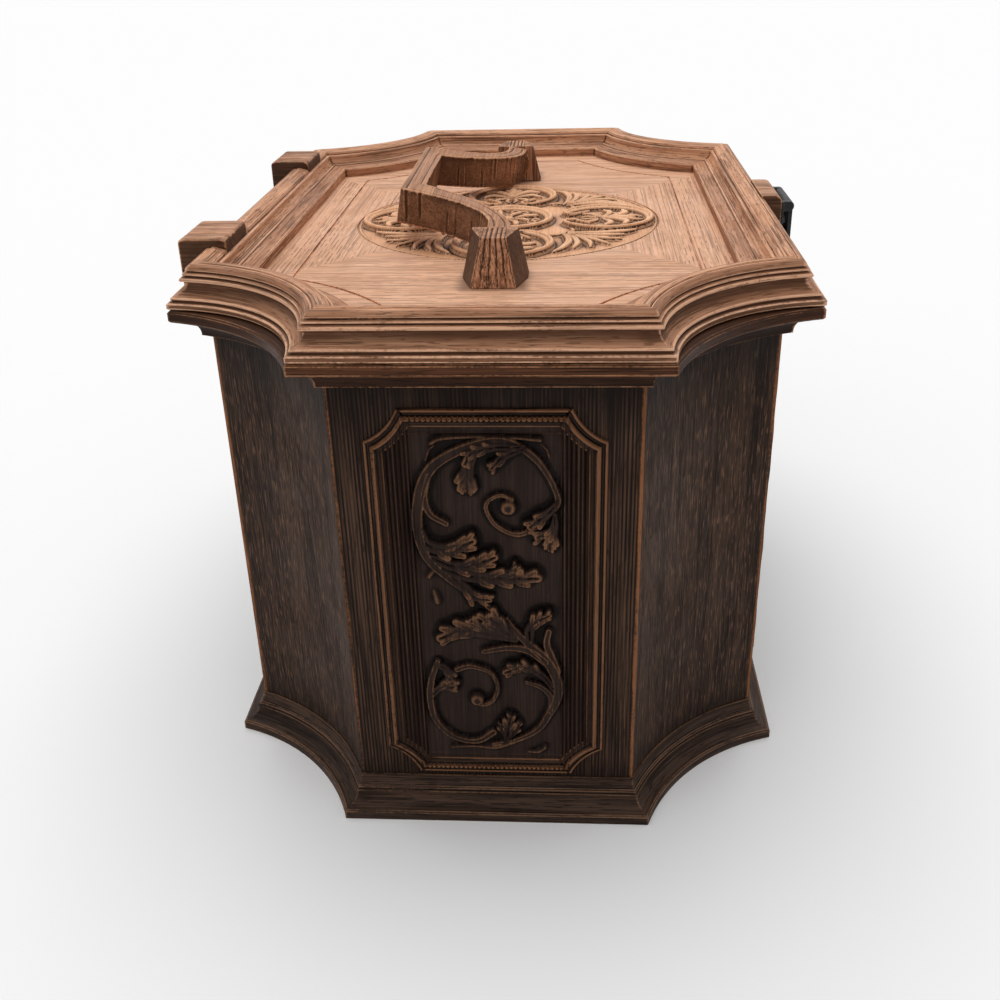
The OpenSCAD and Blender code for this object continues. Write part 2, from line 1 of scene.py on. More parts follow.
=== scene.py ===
"""Looks of the carved sewing box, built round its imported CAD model.

X runs from the hinges to the latch, Y from the front end to the rear end and Z is up.
Shapes are written in millimetres and become metres when a mesh is made.
"""

import math

import bmesh
import bpy
import numpy as np
from mathutils import Matrix, Vector
from mathutils.kdtree import KDTree


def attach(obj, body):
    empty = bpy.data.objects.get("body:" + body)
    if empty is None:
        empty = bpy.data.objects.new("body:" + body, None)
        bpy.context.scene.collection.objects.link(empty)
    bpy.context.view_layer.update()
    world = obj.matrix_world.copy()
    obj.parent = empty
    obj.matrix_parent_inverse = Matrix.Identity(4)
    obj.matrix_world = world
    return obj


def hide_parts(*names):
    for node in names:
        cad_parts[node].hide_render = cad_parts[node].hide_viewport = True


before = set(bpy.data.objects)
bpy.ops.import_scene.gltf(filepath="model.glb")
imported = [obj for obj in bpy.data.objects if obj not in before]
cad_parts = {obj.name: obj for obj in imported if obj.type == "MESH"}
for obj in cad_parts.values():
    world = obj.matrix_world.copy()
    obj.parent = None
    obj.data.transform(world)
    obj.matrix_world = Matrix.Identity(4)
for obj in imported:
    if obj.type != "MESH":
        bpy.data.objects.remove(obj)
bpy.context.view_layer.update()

MM = 0.001

# Plans with hollow corners: half sizes, how far out the hollows' centres lie, radius of the hollows
CASE_PLAN = ((107, 166), 36, 96)
LID_PLAN = ((120, 179), 4.9, 62.2)

# Levels and thicknesses of the case and the lid, and how far the hinges lie from the middle
SEAT_Z = 3
FOOT_H = 16
RIM_Z = 183.5
SHELL_TOP = 191
CASE_H = 195
WALL_T = 4
LID_Z = 195.5
PANEL_TOP = 198.2
LID_FRAME_W = 27
HINGE_Y = 76.5

# The carved panels' lowest level and height, their frames' width, and the frames' corner notches
PANEL_Z = 18.7
PANEL_H = 156
FRAME_W = 7
FRAME_NOTCH = 12
NOTCH_OUT = 8
NOTCH_R = math.hypot(FRAME_NOTCH + NOTCH_OUT, NOTCH_OUT)

# Panels of the end walls and the side walls: width, how far the plain field reaches from the middle
# line, size of the carving's cells, and each scroll's way round and how far out it lies
END_PANEL = (84, 26, 0.37, ((1, 0),))
SIDE_PANEL = (202, 70, 0.56, ((1, 34), (-1, 34)))

# Each wall with a panel: name, turn about Z, distance from the middle, panel
SIDE_AT, END_AT = CASE_PLAN[0]
WALLS = (
    ("front", 0, END_AT, END_PANEL),
    ("rear", 180, END_AT, END_PANEL),
    ("latch_side", 90, SIDE_AT, SIDE_PANEL),
    ("hinge_side", 270, SIDE_AT, SIDE_PANEL),
)

# The handle's angle, its upward direction, half its thickness and its pivot, and its two posts
HANDLE_TILT = math.radians(10.5)
HANDLE_UP = np.array([math.sin(HANDLE_TILT), 0, math.cos(HANDLE_TILT)])
HANDLE_HALF_H = 7.25
PIVOT_Z = 208.2
POST_Y = 96
POST_FOOT = 10.5
POST_H = 17.8

# The roundel's radius, how far it is let into the lid's field, the height of its carving's ground and
# of the carving above that, and the distance and radius of its outer rings
ROUNDEL_R = 68.5
ROUNDEL_SUNK = 0.8
ROUNDEL_GROUND = 0.35
ROUNDEL_RISE = 2.85
RING_OUT = 44.4
RING_R = 20.5

# The camera found from the photograph: its place, its right, forward and up directions as columns,
# and its focal length in pixels of a picture of the photograph's width
CAMERA_AT = (29.54, -518.88, 322.05)
CAMERA_TURN = ((0.99802, -0.06274, -0.0048), (0.05796, 0.8869, 0.45832), (-0.0245, -0.45769, 0.88878))
CAMERA_FOCUS = 1135.15
PICTURE_W = 1000


# Meshes


def finish_mesh(name, edit, material, smooth_angle=32):
    """Object from a closed bmesh whose points are already in metres, with its faces turned outwards."""
    bmesh.ops.recalc_face_normals(edit, faces=edit.faces)
    mesh = bpy.data.meshes.new(name)
    edit.to_mesh(mesh)
    edit.free()
    mesh.shade_smooth()
    mesh.set_sharp_from_angle(angle=math.radians(smooth_angle))
    mesh.materials.append(material)
    return add_object(name, mesh)


def add_object(name, data):
    """Object with a mesh, lamp or camera, in the scene."""
    made = bpy.data.objects.new(name, data)
    bpy.context.scene.collection.objects.link(made)
    return made


def grid_mesh(name, points, faces, material, attributes, smooth_angle=32):
    """Object from points in millimetres, with point attributes that the material reads."""
    mesh = bpy.data.meshes.new(name + "_raw")
    mesh.from_pydata((np.asarray(points, float) * MM).tolist(), [], faces)
    for key, values in attributes.items():
        put_attribute(mesh, key, values)
    edit = bmesh.new()
    edit.from_mesh(mesh)
    bpy.data.meshes.remove(mesh)
    return finish_mesh(name, edit, material, smooth_angle)


def put_attribute(mesh, key, values):
    """Writes a float or vector attribute on a mesh's points."""
    values = np.asarray(values, np.float32)
    vector = values.ndim == 2
    kind = "FLOAT_VECTOR" if vector else "FLOAT"
    layer = mesh.attributes.get(key) or mesh.attributes.new(key, kind, "POINT")
    layer.data.foreach_set("vector" if vector else "value", values.ravel())


def settle(made, body, node):
    """Puts a finished piece on its body and in place of its CAD node."""
    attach(made, body)
    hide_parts(node)


def cove(start, end):
    """Hollow quarter curve that leaves its start level and reaches its end upright."""
    return [
        (start[0] + (end[0] - start[0]) * math.sin(t), start[1] + (end[1] - start[1]) * (1 - math.cos(t)))
        for t in np.linspace(0, math.pi / 2, 11)
    ]


def ovolo(start, end, n=10):
    """Bulging quarter curve that leaves its start upright and reaches its end level."""
    return [
        (start[0] + (end[0] - start[0]) * (1 - math.cos(t)), start[1] + (end[1] - start[1]) * math.sin(t))
        for t in np.linspace(0, math.pi / 2, n + 1)
    ]


def run_lengths(points):
    """How far along a line each of its points lies."""
    return np.concatenate([[0], np.cumsum(np.linalg.norm(np.diff(points, axis=0), axis=1))])


def stations(length, count, arris):
    """Shares of a length at which a moulding has points: the first and last gaps are arris wide."""
    close = min(arris / length, 0.1)
    return np.concatenate([[0, close], np.linspace(0, 1, count + 2)[1:-1], [1 - close]])


def plan_path(plan, grow, side_counts, arc_count, arris):
    """Points round a plan grown by grow, counter-clockwise from the left end of the front side."""
    half, out, radius = plan
    r = radius - grow
    tilt = math.asin((out - grow) / r)
    reach = r * math.cos(tilt)
    points = []
    for quarter in range(4):
        a, b = half if quarter % 2 == 0 else half[::-1]
        end = a + out - reach
        side = [(end * (2 * f - 1), -b - grow) for f in stations(2 * a, side_counts[quarter % 2], arris)]
        swept = 2 * tilt - math.pi / 2
        span = [math.pi - tilt + swept * f for f in stations(radius * 1.2, arc_count, arris)]
        arc = [(a + out + r * math.cos(t), -b - out + r * math.sin(t)) for t in span]
        turn = Matrix.Rotation(quarter * math.pi / 2, 2)
        points += [tuple(turn @ Vector(p)) for p in side + arc]
    return np.array(points)


def plan_marks(side_counts, arc_count):
    """For each point of plan_path, 1 where a side meets a hollow, and 1 along the hollows."""
    corner, hollow = [], []
    for quarter in range(4):
        for count, hollowed in ((side_counts[quarter % 2], 0.0), (arc_count, 1.0)):
            corner += [1.0] + [0.0] * (count + 2)
            hollow += [hollowed] * (count + 3)
    return np.array(corner), np.array(hollow)


def worn_section(section):
    """Closed outline with points added beside its corners, and how worn (+) or darkened (-) each point is.
    """
    section = [np.array(p, float) for p in section]
    n = len(section)
    area = sum(a[0] * b[1] - b[0] * a[1] for a, b in zip(section, section[1:] + section[:1]))
    way = 1 if area > 0 else -1
    points, wear_and_light, outward = [], [], []
    for i in range(n):
        before, here, after = section[i - 1], section[i], section[(i + 1) % n]
        back, ahead = here - before, after - here
        turn = way * math.degrees(math.atan2(back[0] * ahead[1] - back[1] * ahead[0], float(back @ ahead)))
        normal = way * (back / np.linalg.norm(back) + ahead / np.linalg.norm(ahead))
        points.append(here)
        wear_and_light.append(0.0 if abs(turn) < 15 else max(-1.0, min(1.0, turn / 35)))
        outward.append(normal[1] / (np.linalg.norm(normal) + 1e-9))
        length = np.linalg.norm(ahead)
        if length > 1.5:
            between = (0.4 / length, 1 - 0.4 / length)
        else:
            between = (0.5,) if length > 0.7 else ()
        for share in between:
            points.append(here + ahead * share)
            wear_and_light.append(0.0)
            outward.append(way * ahead[1] / length)
    return np.array(points), np.array(wear_and_light), np.array(outward)


def moulding(
    name, section, plan, material, side_counts=(24, 36), arc_count=22, arris=1.8, upright=False,
    glaze_and_shade=None, hollow_darkening=0.0, shape=None,
):
    """Closed ring that follows a plan with hollow corners; the section gives (growth, height) pairs.
    arris is how far the wear reaches from the plan's corners, and the grain runs along the ring, or
    upwards. glaze_and_shade(growth, height) is how much dark glaze and painted shade each level keeps,
    from 0 to 1, hollow_darkening how much darker the corner hollows are, and
    shape(points, along, row, outline) may move the points."""
    outline, wear_and_light, outward = worn_section(section)
    along = run_lengths(plan_path(plan, 0, side_counts, arc_count, arris))
    corner, hollow = plan_marks(side_counts, arc_count)
    across = run_lengths(outline)
    rows, ring = len(outline), len(along)
    points, wears, grains = [], [], []
    for i, (grow, z) in enumerate(outline):
        path = plan_path(plan, grow, side_counts, arc_count, arris)
        points.append(np.c_[path, np.full(ring, z)])
        wears.append(np.clip(wear_and_light[i] + corner * 0.9 * outward[i], -1, 1) * (1 - hollow_darkening * hollow))
        level, run = np.full(ring, z), np.full(ring, across[i])
        grains.append((np.c_[level, along, run * 0] if upright else np.c_[along, run, run * 0]) * MM)
    points = np.concatenate(points)
    if shape is not None:
        points = shape(points, np.tile(along, rows), np.repeat(np.arange(rows), ring), outline)
    faces = []
    for i in range(rows):
        here, above = i * ring, (i + 1) % rows * ring
        faces += [(here + j, here + (j + 1) % ring, above + (j + 1) % ring, above + j) for j in range(ring)]
    levels = [glaze_and_shade(*p) if glaze_and_shade else 0.0 for p in outline]
    hollow = np.tile(hollow, rows)
    attributes = {
        "wear_and_light": np.concatenate(wears),
        "grain": np.concatenate(grains),
        "figure": hollow,
        "glaze_and_shade": np.clip(np.repeat(levels, ring) + hollow_darkening * hollow, 0, 1),
    }
    return grid_mesh(name, points, faces, material, attributes)


def cut_away(made, boxes):
    """Cuts boxes, each a lowest and a highest corner in millimetres, out of a finished piece."""
    for low, high in boxes:
        edit = bmesh.new()
        bmesh.ops.create_cube(edit, size=1)
        middle, size = (Vector(low) + Vector(high)) / 2 * MM, (Vector(high) - Vector(low)) * MM
        edit.transform(Matrix.Translation(middle) @ Matrix.Diagonal((*size, 1)))
        mesh = bpy.data.meshes.new("cutter")
        edit.to_mesh(mesh)
        edit.free()
        cutter = add_object("cutter", mesh)
        cut = made.modifiers.new("cut", "BOOLEAN")
        cut.object, cut.operation, cut.solver = cutter, "DIFFERENCE", "EXACT"
        replace_mesh(made)
        bpy.data.objects.remove(cutter)


def replace_mesh(made):
    """Applies all of an object's modifiers to its mesh."""
    bpy.context.view_layer.update()
    graph = bpy.context.evaluated_depsgraph_get()
    shown = made.evaluated_get(graph)
    mesh = bpy.data.meshes.new_from_object(shown, preserve_all_data_layers=True, depsgraph=graph)
    made.modifiers.clear()
    made.data = mesh


def carved_copy(name, node, material, cell, grain=(0, 1, 2), carve=None, glaze_and_shade=None):
    """Evenly meshed copy of a CAD node, softened at its edges, with the wear that its bends call for.
    carve(points, normals) gives how far each point moves out along its normal, in millimetres, and
    glaze_and_shade(points, normals) how much of the dark glaze and painted shade each point keeps."""
    edit = bmesh.new()
    edit.from_mesh(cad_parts[node].data)
    bmesh.ops.remove_doubles(edit, verts=edit.verts, dist=1e-6)
    made = finish_mesh(name, edit, material)
    remesh = made.modifiers.new("even", "REMESH")
    remesh.mode, remesh.voxel_size = "VOXEL", cell * MM
    relax = made.modifiers.new("soft", "SMOOTH")
    relax.factor, relax.iterations = 0.5, 2
    replace_mesh(made)
    mesh = made.data
    points = read_vectors(mesh.vertices, "co") / MM
    if carve is not None:
        normals = read_vectors(mesh.vertices, "normal")
        points += normals * carve(points, normals)[:, None]
        mesh.vertices.foreach_set("co", (points * MM).astype(np.float32).ravel())
        mesh.update()
    put_attribute(mesh, "wear_and_light", bend_wear(mesh, cell))
    put_attribute(mesh, "grain", points[:, grain] * MM)
    if glaze_and_shade is not None:
        put_attribute(mesh, "glaze_and_shade", glaze_and_shade(points, read_vectors(mesh.vertices, "normal")))
    mesh.shade_smooth()
    mesh.materials.clear()
    mesh.materials.append(material)
    return made


def read_vectors(items, key):
    """One vector of each item, as rows."""
    values = np.zeros(len(items) * 3, np.float32)
    items.foreach_get(key, values)
    return values.reshape(-1, 3).astype(float)


def bend_wear(mesh, cell):
    """How far each point stands out from (+) or lies behind (-) the average of the points round it."""
    edges = np.zeros(len(mesh.edges) * 2, np.int32)
    mesh.edges.foreach_get("vertices", edges)
    edges = edges.reshape(-1, 2)
    points = read_vectors(mesh.vertices, "co") / MM
    normals = read_vectors(mesh.vertices, "normal")
    average = points
    for _ in range(max(3, round(1.2 / cell))):
        total, count = np.zeros_like(points), np.zeros(len(points))
        for a, b in ((0, 1), (1, 0)):
            np.add.at(total, edges[:, a], average[edges[:, b]])
            np.add.at(count, edges[:, a], 1)
        average = total / np.maximum(count, 1)[:, None]
    return np.clip(np.einsum("ij,ij->i", points - average, normals) / 0.22, -1, 1)


# Carving


def smooth_line(points):
    """Points close together on a Catmull-Rom curve through the given ones."""
    step = 0.35
    p = np.array(points, float)
    if len(p) == 2:
        n = max(2, int(np.linalg.norm(p[1] - p[0]) / step))
        return p[0] + (p[1] - p[0]) * np.linspace(0, 1, n)[:, None]
    p = np.vstack([2 * p[0] - p[1], p, 2 * p[-1] - p[-2]])
    made = []
    for a, b, c, d in zip(p, p[1:], p[2:], p[3:]):
        t = np.linspace(0, 1, max(2, int(np.linalg.norm(c - b) / step)), endpoint=False)[:, None]
        square, cube = 2 * a - 5 * b + 4 * c - d, 3 * b - a - 3 * c + d
        made.append(0.5 * (2 * b + (c - a) * t + square * t**2 + cube * t**3))
    return np.vstack(made + [p[-2:-1]])


def over_length(values, share):
    """Values given at even steps along a stroke, read at shares of its length."""
    return np.interp(share, np.linspace(0, 1, len(values)), values)


def near(u, at, reach=0.17):
    """1 where u is at, falling smoothly to nothing at about twice reach from it."""
    return np.exp(-(((u - at) / reach) ** 2))


# Height across a stroke from its middle line (u = 0) to its edge (u = 1), and how worn it is there,
# at shares f of its length: wear with painted highlights on rims and tips above 0, and painted shade at
# its foot and in its creases below 0; rim is 1 just inside its edge, and foot is 1 at its very edge
STROKES = {
    "stem": (lambda u: (1 - u**8) * (0.6 + 0.4 * u**2), lambda u, f, rim, foot: 0.52 * rim),
    "blade": (
        lambda u: (1 - u**6) * (0.78 + 0.22 * u**2 - 0.3 * near(u, 0)),
        lambda u, f, rim, foot: (
            0.05 + 0.3 * rim + 0.4 * np.clip(3 * f - 2, 0, 1) - 0.7 * near(u, 0) - foot
        ),
    ),
    "finger": (
        lambda u: np.sqrt(1 - u**2) ** 0.6 * (1 - 0.2 * near(u, 0)),
        lambda u, f, rim, foot: 0.1 + 0.3 * f + (0.1 + 0.3 * f) * rim - foot,
    ),
    "bead": (lambda u: np.sqrt(1 - u**2), lambda u, f, rim, foot: 0.45 * near(u, 0.2, 0.4)),
    "band": (lambda u: 1 - u**8, lambda u, f, rim, foot: 0.5 - 1.4 * foot),
    "petal": (
        lambda u: np.sqrt(1 - u**2) ** 0.7 * (1 - 0.35 * near(u, 0)),
        lambda u, f, rim, foot: 0.4 + 0.3 * f - 0.8 * near(u, 0) * (1 - f) - 1.6 * foot,
    ),
}


class Relief:
    """Height map in millimetres over a rectangle, into which strokes and knobs are carved. ground_shade is
    how dark the painted shade gets on the ground beside the carving, from 0 to 1."""

    def __init__(self, low, high, cell, ground, ground_shade=1.0):
        self.us = np.linspace(low[0], high[0], max(2, round((high[0] - low[0]) / cell) + 1))
        self.vs = np.linspace(low[1], high[1], max(2, round((high[1] - low[1]) / cell) + 1))
        self.u, self.v = np.meshgrid(self.us, self.vs, indexing="ij")
        self.ground = ground(self.u, self.v)
        self.height = self.ground.copy()
        self.worn_and_light = np.zeros_like(self.height)
        self.cell, self.ground_shade = cell, ground_shade

    def window(self, points, margin):
        """The part of the map that holds some points, and a margin round them."""
        low, high = points.min(0) - margin, points.max(0) + margin
        i = slice(*np.searchsorted(self.us, (low[0], high[0])))
        j = slice(*np.searchsorted(self.vs, (low[1], high[1])))
        return i, j

    def stroke(self, kind, points, widths, heights):
        """Raises a ridge along a smooth line; widths are half widths, given at even steps along it."""
        line = smooth_line(points)
        along = run_lengths(line)
        share = along / along[-1]
        half = over_length(widths, share)
        i, j = self.window(line, max(widths) + self.cell)
        u, v = self.u[i, j], self.v[i, j]
        if u.size == 0:
            return
        apart = (u[..., None] - line[:, 0]) ** 2 + (v[..., None] - line[:, 1]) ** 2
        nearest = apart.argmin(-1)
        off = np.sqrt(apart.min(-1)) / half[nearest]
        rise, worn_and_light = STROKES[kind]
        off, inside = np.clip(off, 0, 1), off < 1
        inset = (1 - off) * half[nearest]
        height = over_length(heights, share)[nearest] * rise(off) * inside
        worn_and_light = worn_and_light(off, share[nearest], near(inset, 0.5, 0.4), near(inset, 0, 0.45))
        self.raise_to(i, j, height, worn_and_light)

    def raise_to(self, i, j, rise, worn_and_light):
        """Raises part of the map to rise above its ground where it is lower, and notes its wear and painted
        light there.
        """
        higher = (rise > 0) & (self.ground[i, j] + rise > self.height[i, j])
        self.height[i, j] = np.where(higher, self.ground[i, j] + rise, self.height[i, j])
        self.worn_and_light[i, j] = np.where(higher, worn_and_light, self.worn_and_light[i, j])

    def leaf(self, points, widths, heights):
        """Raises a leaf: a fluted blade with a full tip, and fingers that part from its sides."""
        line = smooth_line(points)
        along = run_lengths(line)
        half = over_length(widths, along / along[-1])
        rise = over_length(heights, along / along[-1])
        self.stroke("blade", points, [0.85 * w for w in widths], heights)
        for share in np.linspace(0.45, 0.8, 2 if along[-1] < 14 else 3):
            for side in (1, -1):
                i = int(np.searchsorted(along, along[-1] * (share + 0.05 * side)))
                ahead = line[min(i + 2, len(line) - 1)] - line[max(i - 2, 0)]
                ahead = ahead / np.linalg.norm(ahead)
                aside = side * np.array([-ahead[1], ahead[0]])
                w, h = half[i], rise[i]
                bend = line[i] + w * (0.7 * ahead + 0.5 * aside)
                tip = line[i] + w * (1.6 * ahead + 0.85 * aside)
                finger = (0.4 * w, 0.5 * w + 0.2, 0.4 * w + 0.3)
                self.stroke("finger", (line[i], bend, tip), finger, (0.7 * h, 0.95 * h, 0.85 * h))

    def knob(self, u, v, radius, height):
        """Raises a round dome."""
        i, j = self.window(np.array([[u, v]]), radius + self.cell)
        off = np.hypot(self.u[i, j] - u, self.v[i, j] - v) / radius
        dome = height * np.sqrt(np.clip(1 - off**2, 0, 1)) ** 0.6
        # A ring of wear and painted highlight round the dome's shoulder
        self.raise_to(i, j, dome, 0.5 * near(off, 0.6, 0.3))

    def soften(self, highest):
        """Takes the steps that the cells leave out of the carving's sides, and scales it to be highest
        millimetres high."""
        rise = self.height - self.ground
        for axis in (0, 1):
            rise = running_mean(rise, 1, axis)
        self.height = self.ground + rise * (highest / rise.max())

    def spread(self, values, reach):
        """Values smoothed over about reach millimetres."""
        for axis in (0, 1, 0, 1):
            values = running_mean(values, max(1, round(reach / self.cell)), axis)
        return values

    def wear_and_light(self):
        """Worn and painted as its strokes say; on the ground, painted shade beside the carving and wear on
        the reeds' crests.
        """
        low = self.height < self.ground + 0.1
        beside = np.clip((self.height - self.spread(self.height, 1.3)) / 0.9, -self.ground_shade, 0.3)
        return np.where(low, beside, self.worn_and_light)

    def glaze_and_shade_near_carving(self):
        """Where glaze and painted shade lie: 1 on ground that has carving close round it, and 0 on the
        carving.
        """
        rise = self.height - self.ground
        return np.clip(self.spread(rise, 2.6) / 0.8, 0, 1) * np.clip(1 - rise / 2.2, 0, 1)

    def piece(self, name, material, place, keep, base, trim=None, recess=0.0):
        """Closed mesh of the cells that keep(u, v) chooses, down to the level base, with the grain
        along v. place(u, v, h) gives each point's place, trim(u, v) may move the points at the edge
        onto a smooth outline, and recess is how much glaze and painted shade lie in it round the carving."""
        nu, nv = self.u.shape
        u, v, h = self.u.ravel(), self.v.ravel(), self.height.ravel()
        corner = (np.arange(nu - 1)[:, None] * nv + np.arange(nv - 1)).ravel()
        quads = np.stack([corner, corner + nv, corner + nv + 1, corner + 1], 1)
        quads = quads[keep(u[quads].mean(1), v[quads].mean(1))]
        used, flat = np.unique(quads, return_inverse=True)
        quads, count = flat.reshape(quads.shape), len(used)

        edges = np.concatenate([quads[:, [k, (k + 1) % 4]] for k in range(4)])
        rim = edges[~np.isin(edges[:, 0] * count + edges[:, 1], edges[:, 1] * count + edges[:, 0])]
        follow = dict(rim.tolist())
        below = {k: count + i for i, k in enumerate(follow)}
        skirt = [(b, a, below[a], below[b]) for a, b in follow.items()]
        start = loop = next(iter(follow))
        bottom = [below[start]]
        while follow[loop] != start:
            loop = follow[loop]
            bottom.append(below[loop])

        # Dark glaze and painted shade on the ground close round the carving
        glaze_and_shade = recess * self.glaze_and_shade_near_carving().ravel()[used]
        u, v, h, worn_and_light = u[used], v[used], h[used], self.wear_and_light().ravel()[used]
        if trim:
            u, v = trim(u, v)
        lower = list(below)
        u, v, h = np.r_[u, u[lower]], np.r_[v, v[lower]], np.r_[h, np.full(len(lower), base)]
        attributes = {
            "wear_and_light": np.r_[worn_and_light, worn_and_light[lower] * 0],
            "grain": np.c_[v, u, u * 0] * MM,
            "figure": u * 0,
            "glaze_and_shade": np.r_[glaze_and_shade, glaze_and_shade[lower]],
        }
        faces = quads.tolist() + skirt + [bottom[::-1]]
        return grid_mesh(name, place(u, v, h), faces, material, attributes, 60)


def running_mean(values, reach, axis):
    """Mean over a window of reach cells to each side along one axis."""
    before = np.repeat(values.take([0], axis), reach + 1, axis)
    after = np.repeat(values.take([-1], axis), reach, axis)
    total = np.cumsum(np.concatenate([before, values, after], axis), axis)
    size = values.shape[axis]
    window = 2 * reach + 1
    return (total.take(range(window, window + size), axis) - total.take(range(size), axis)) / window


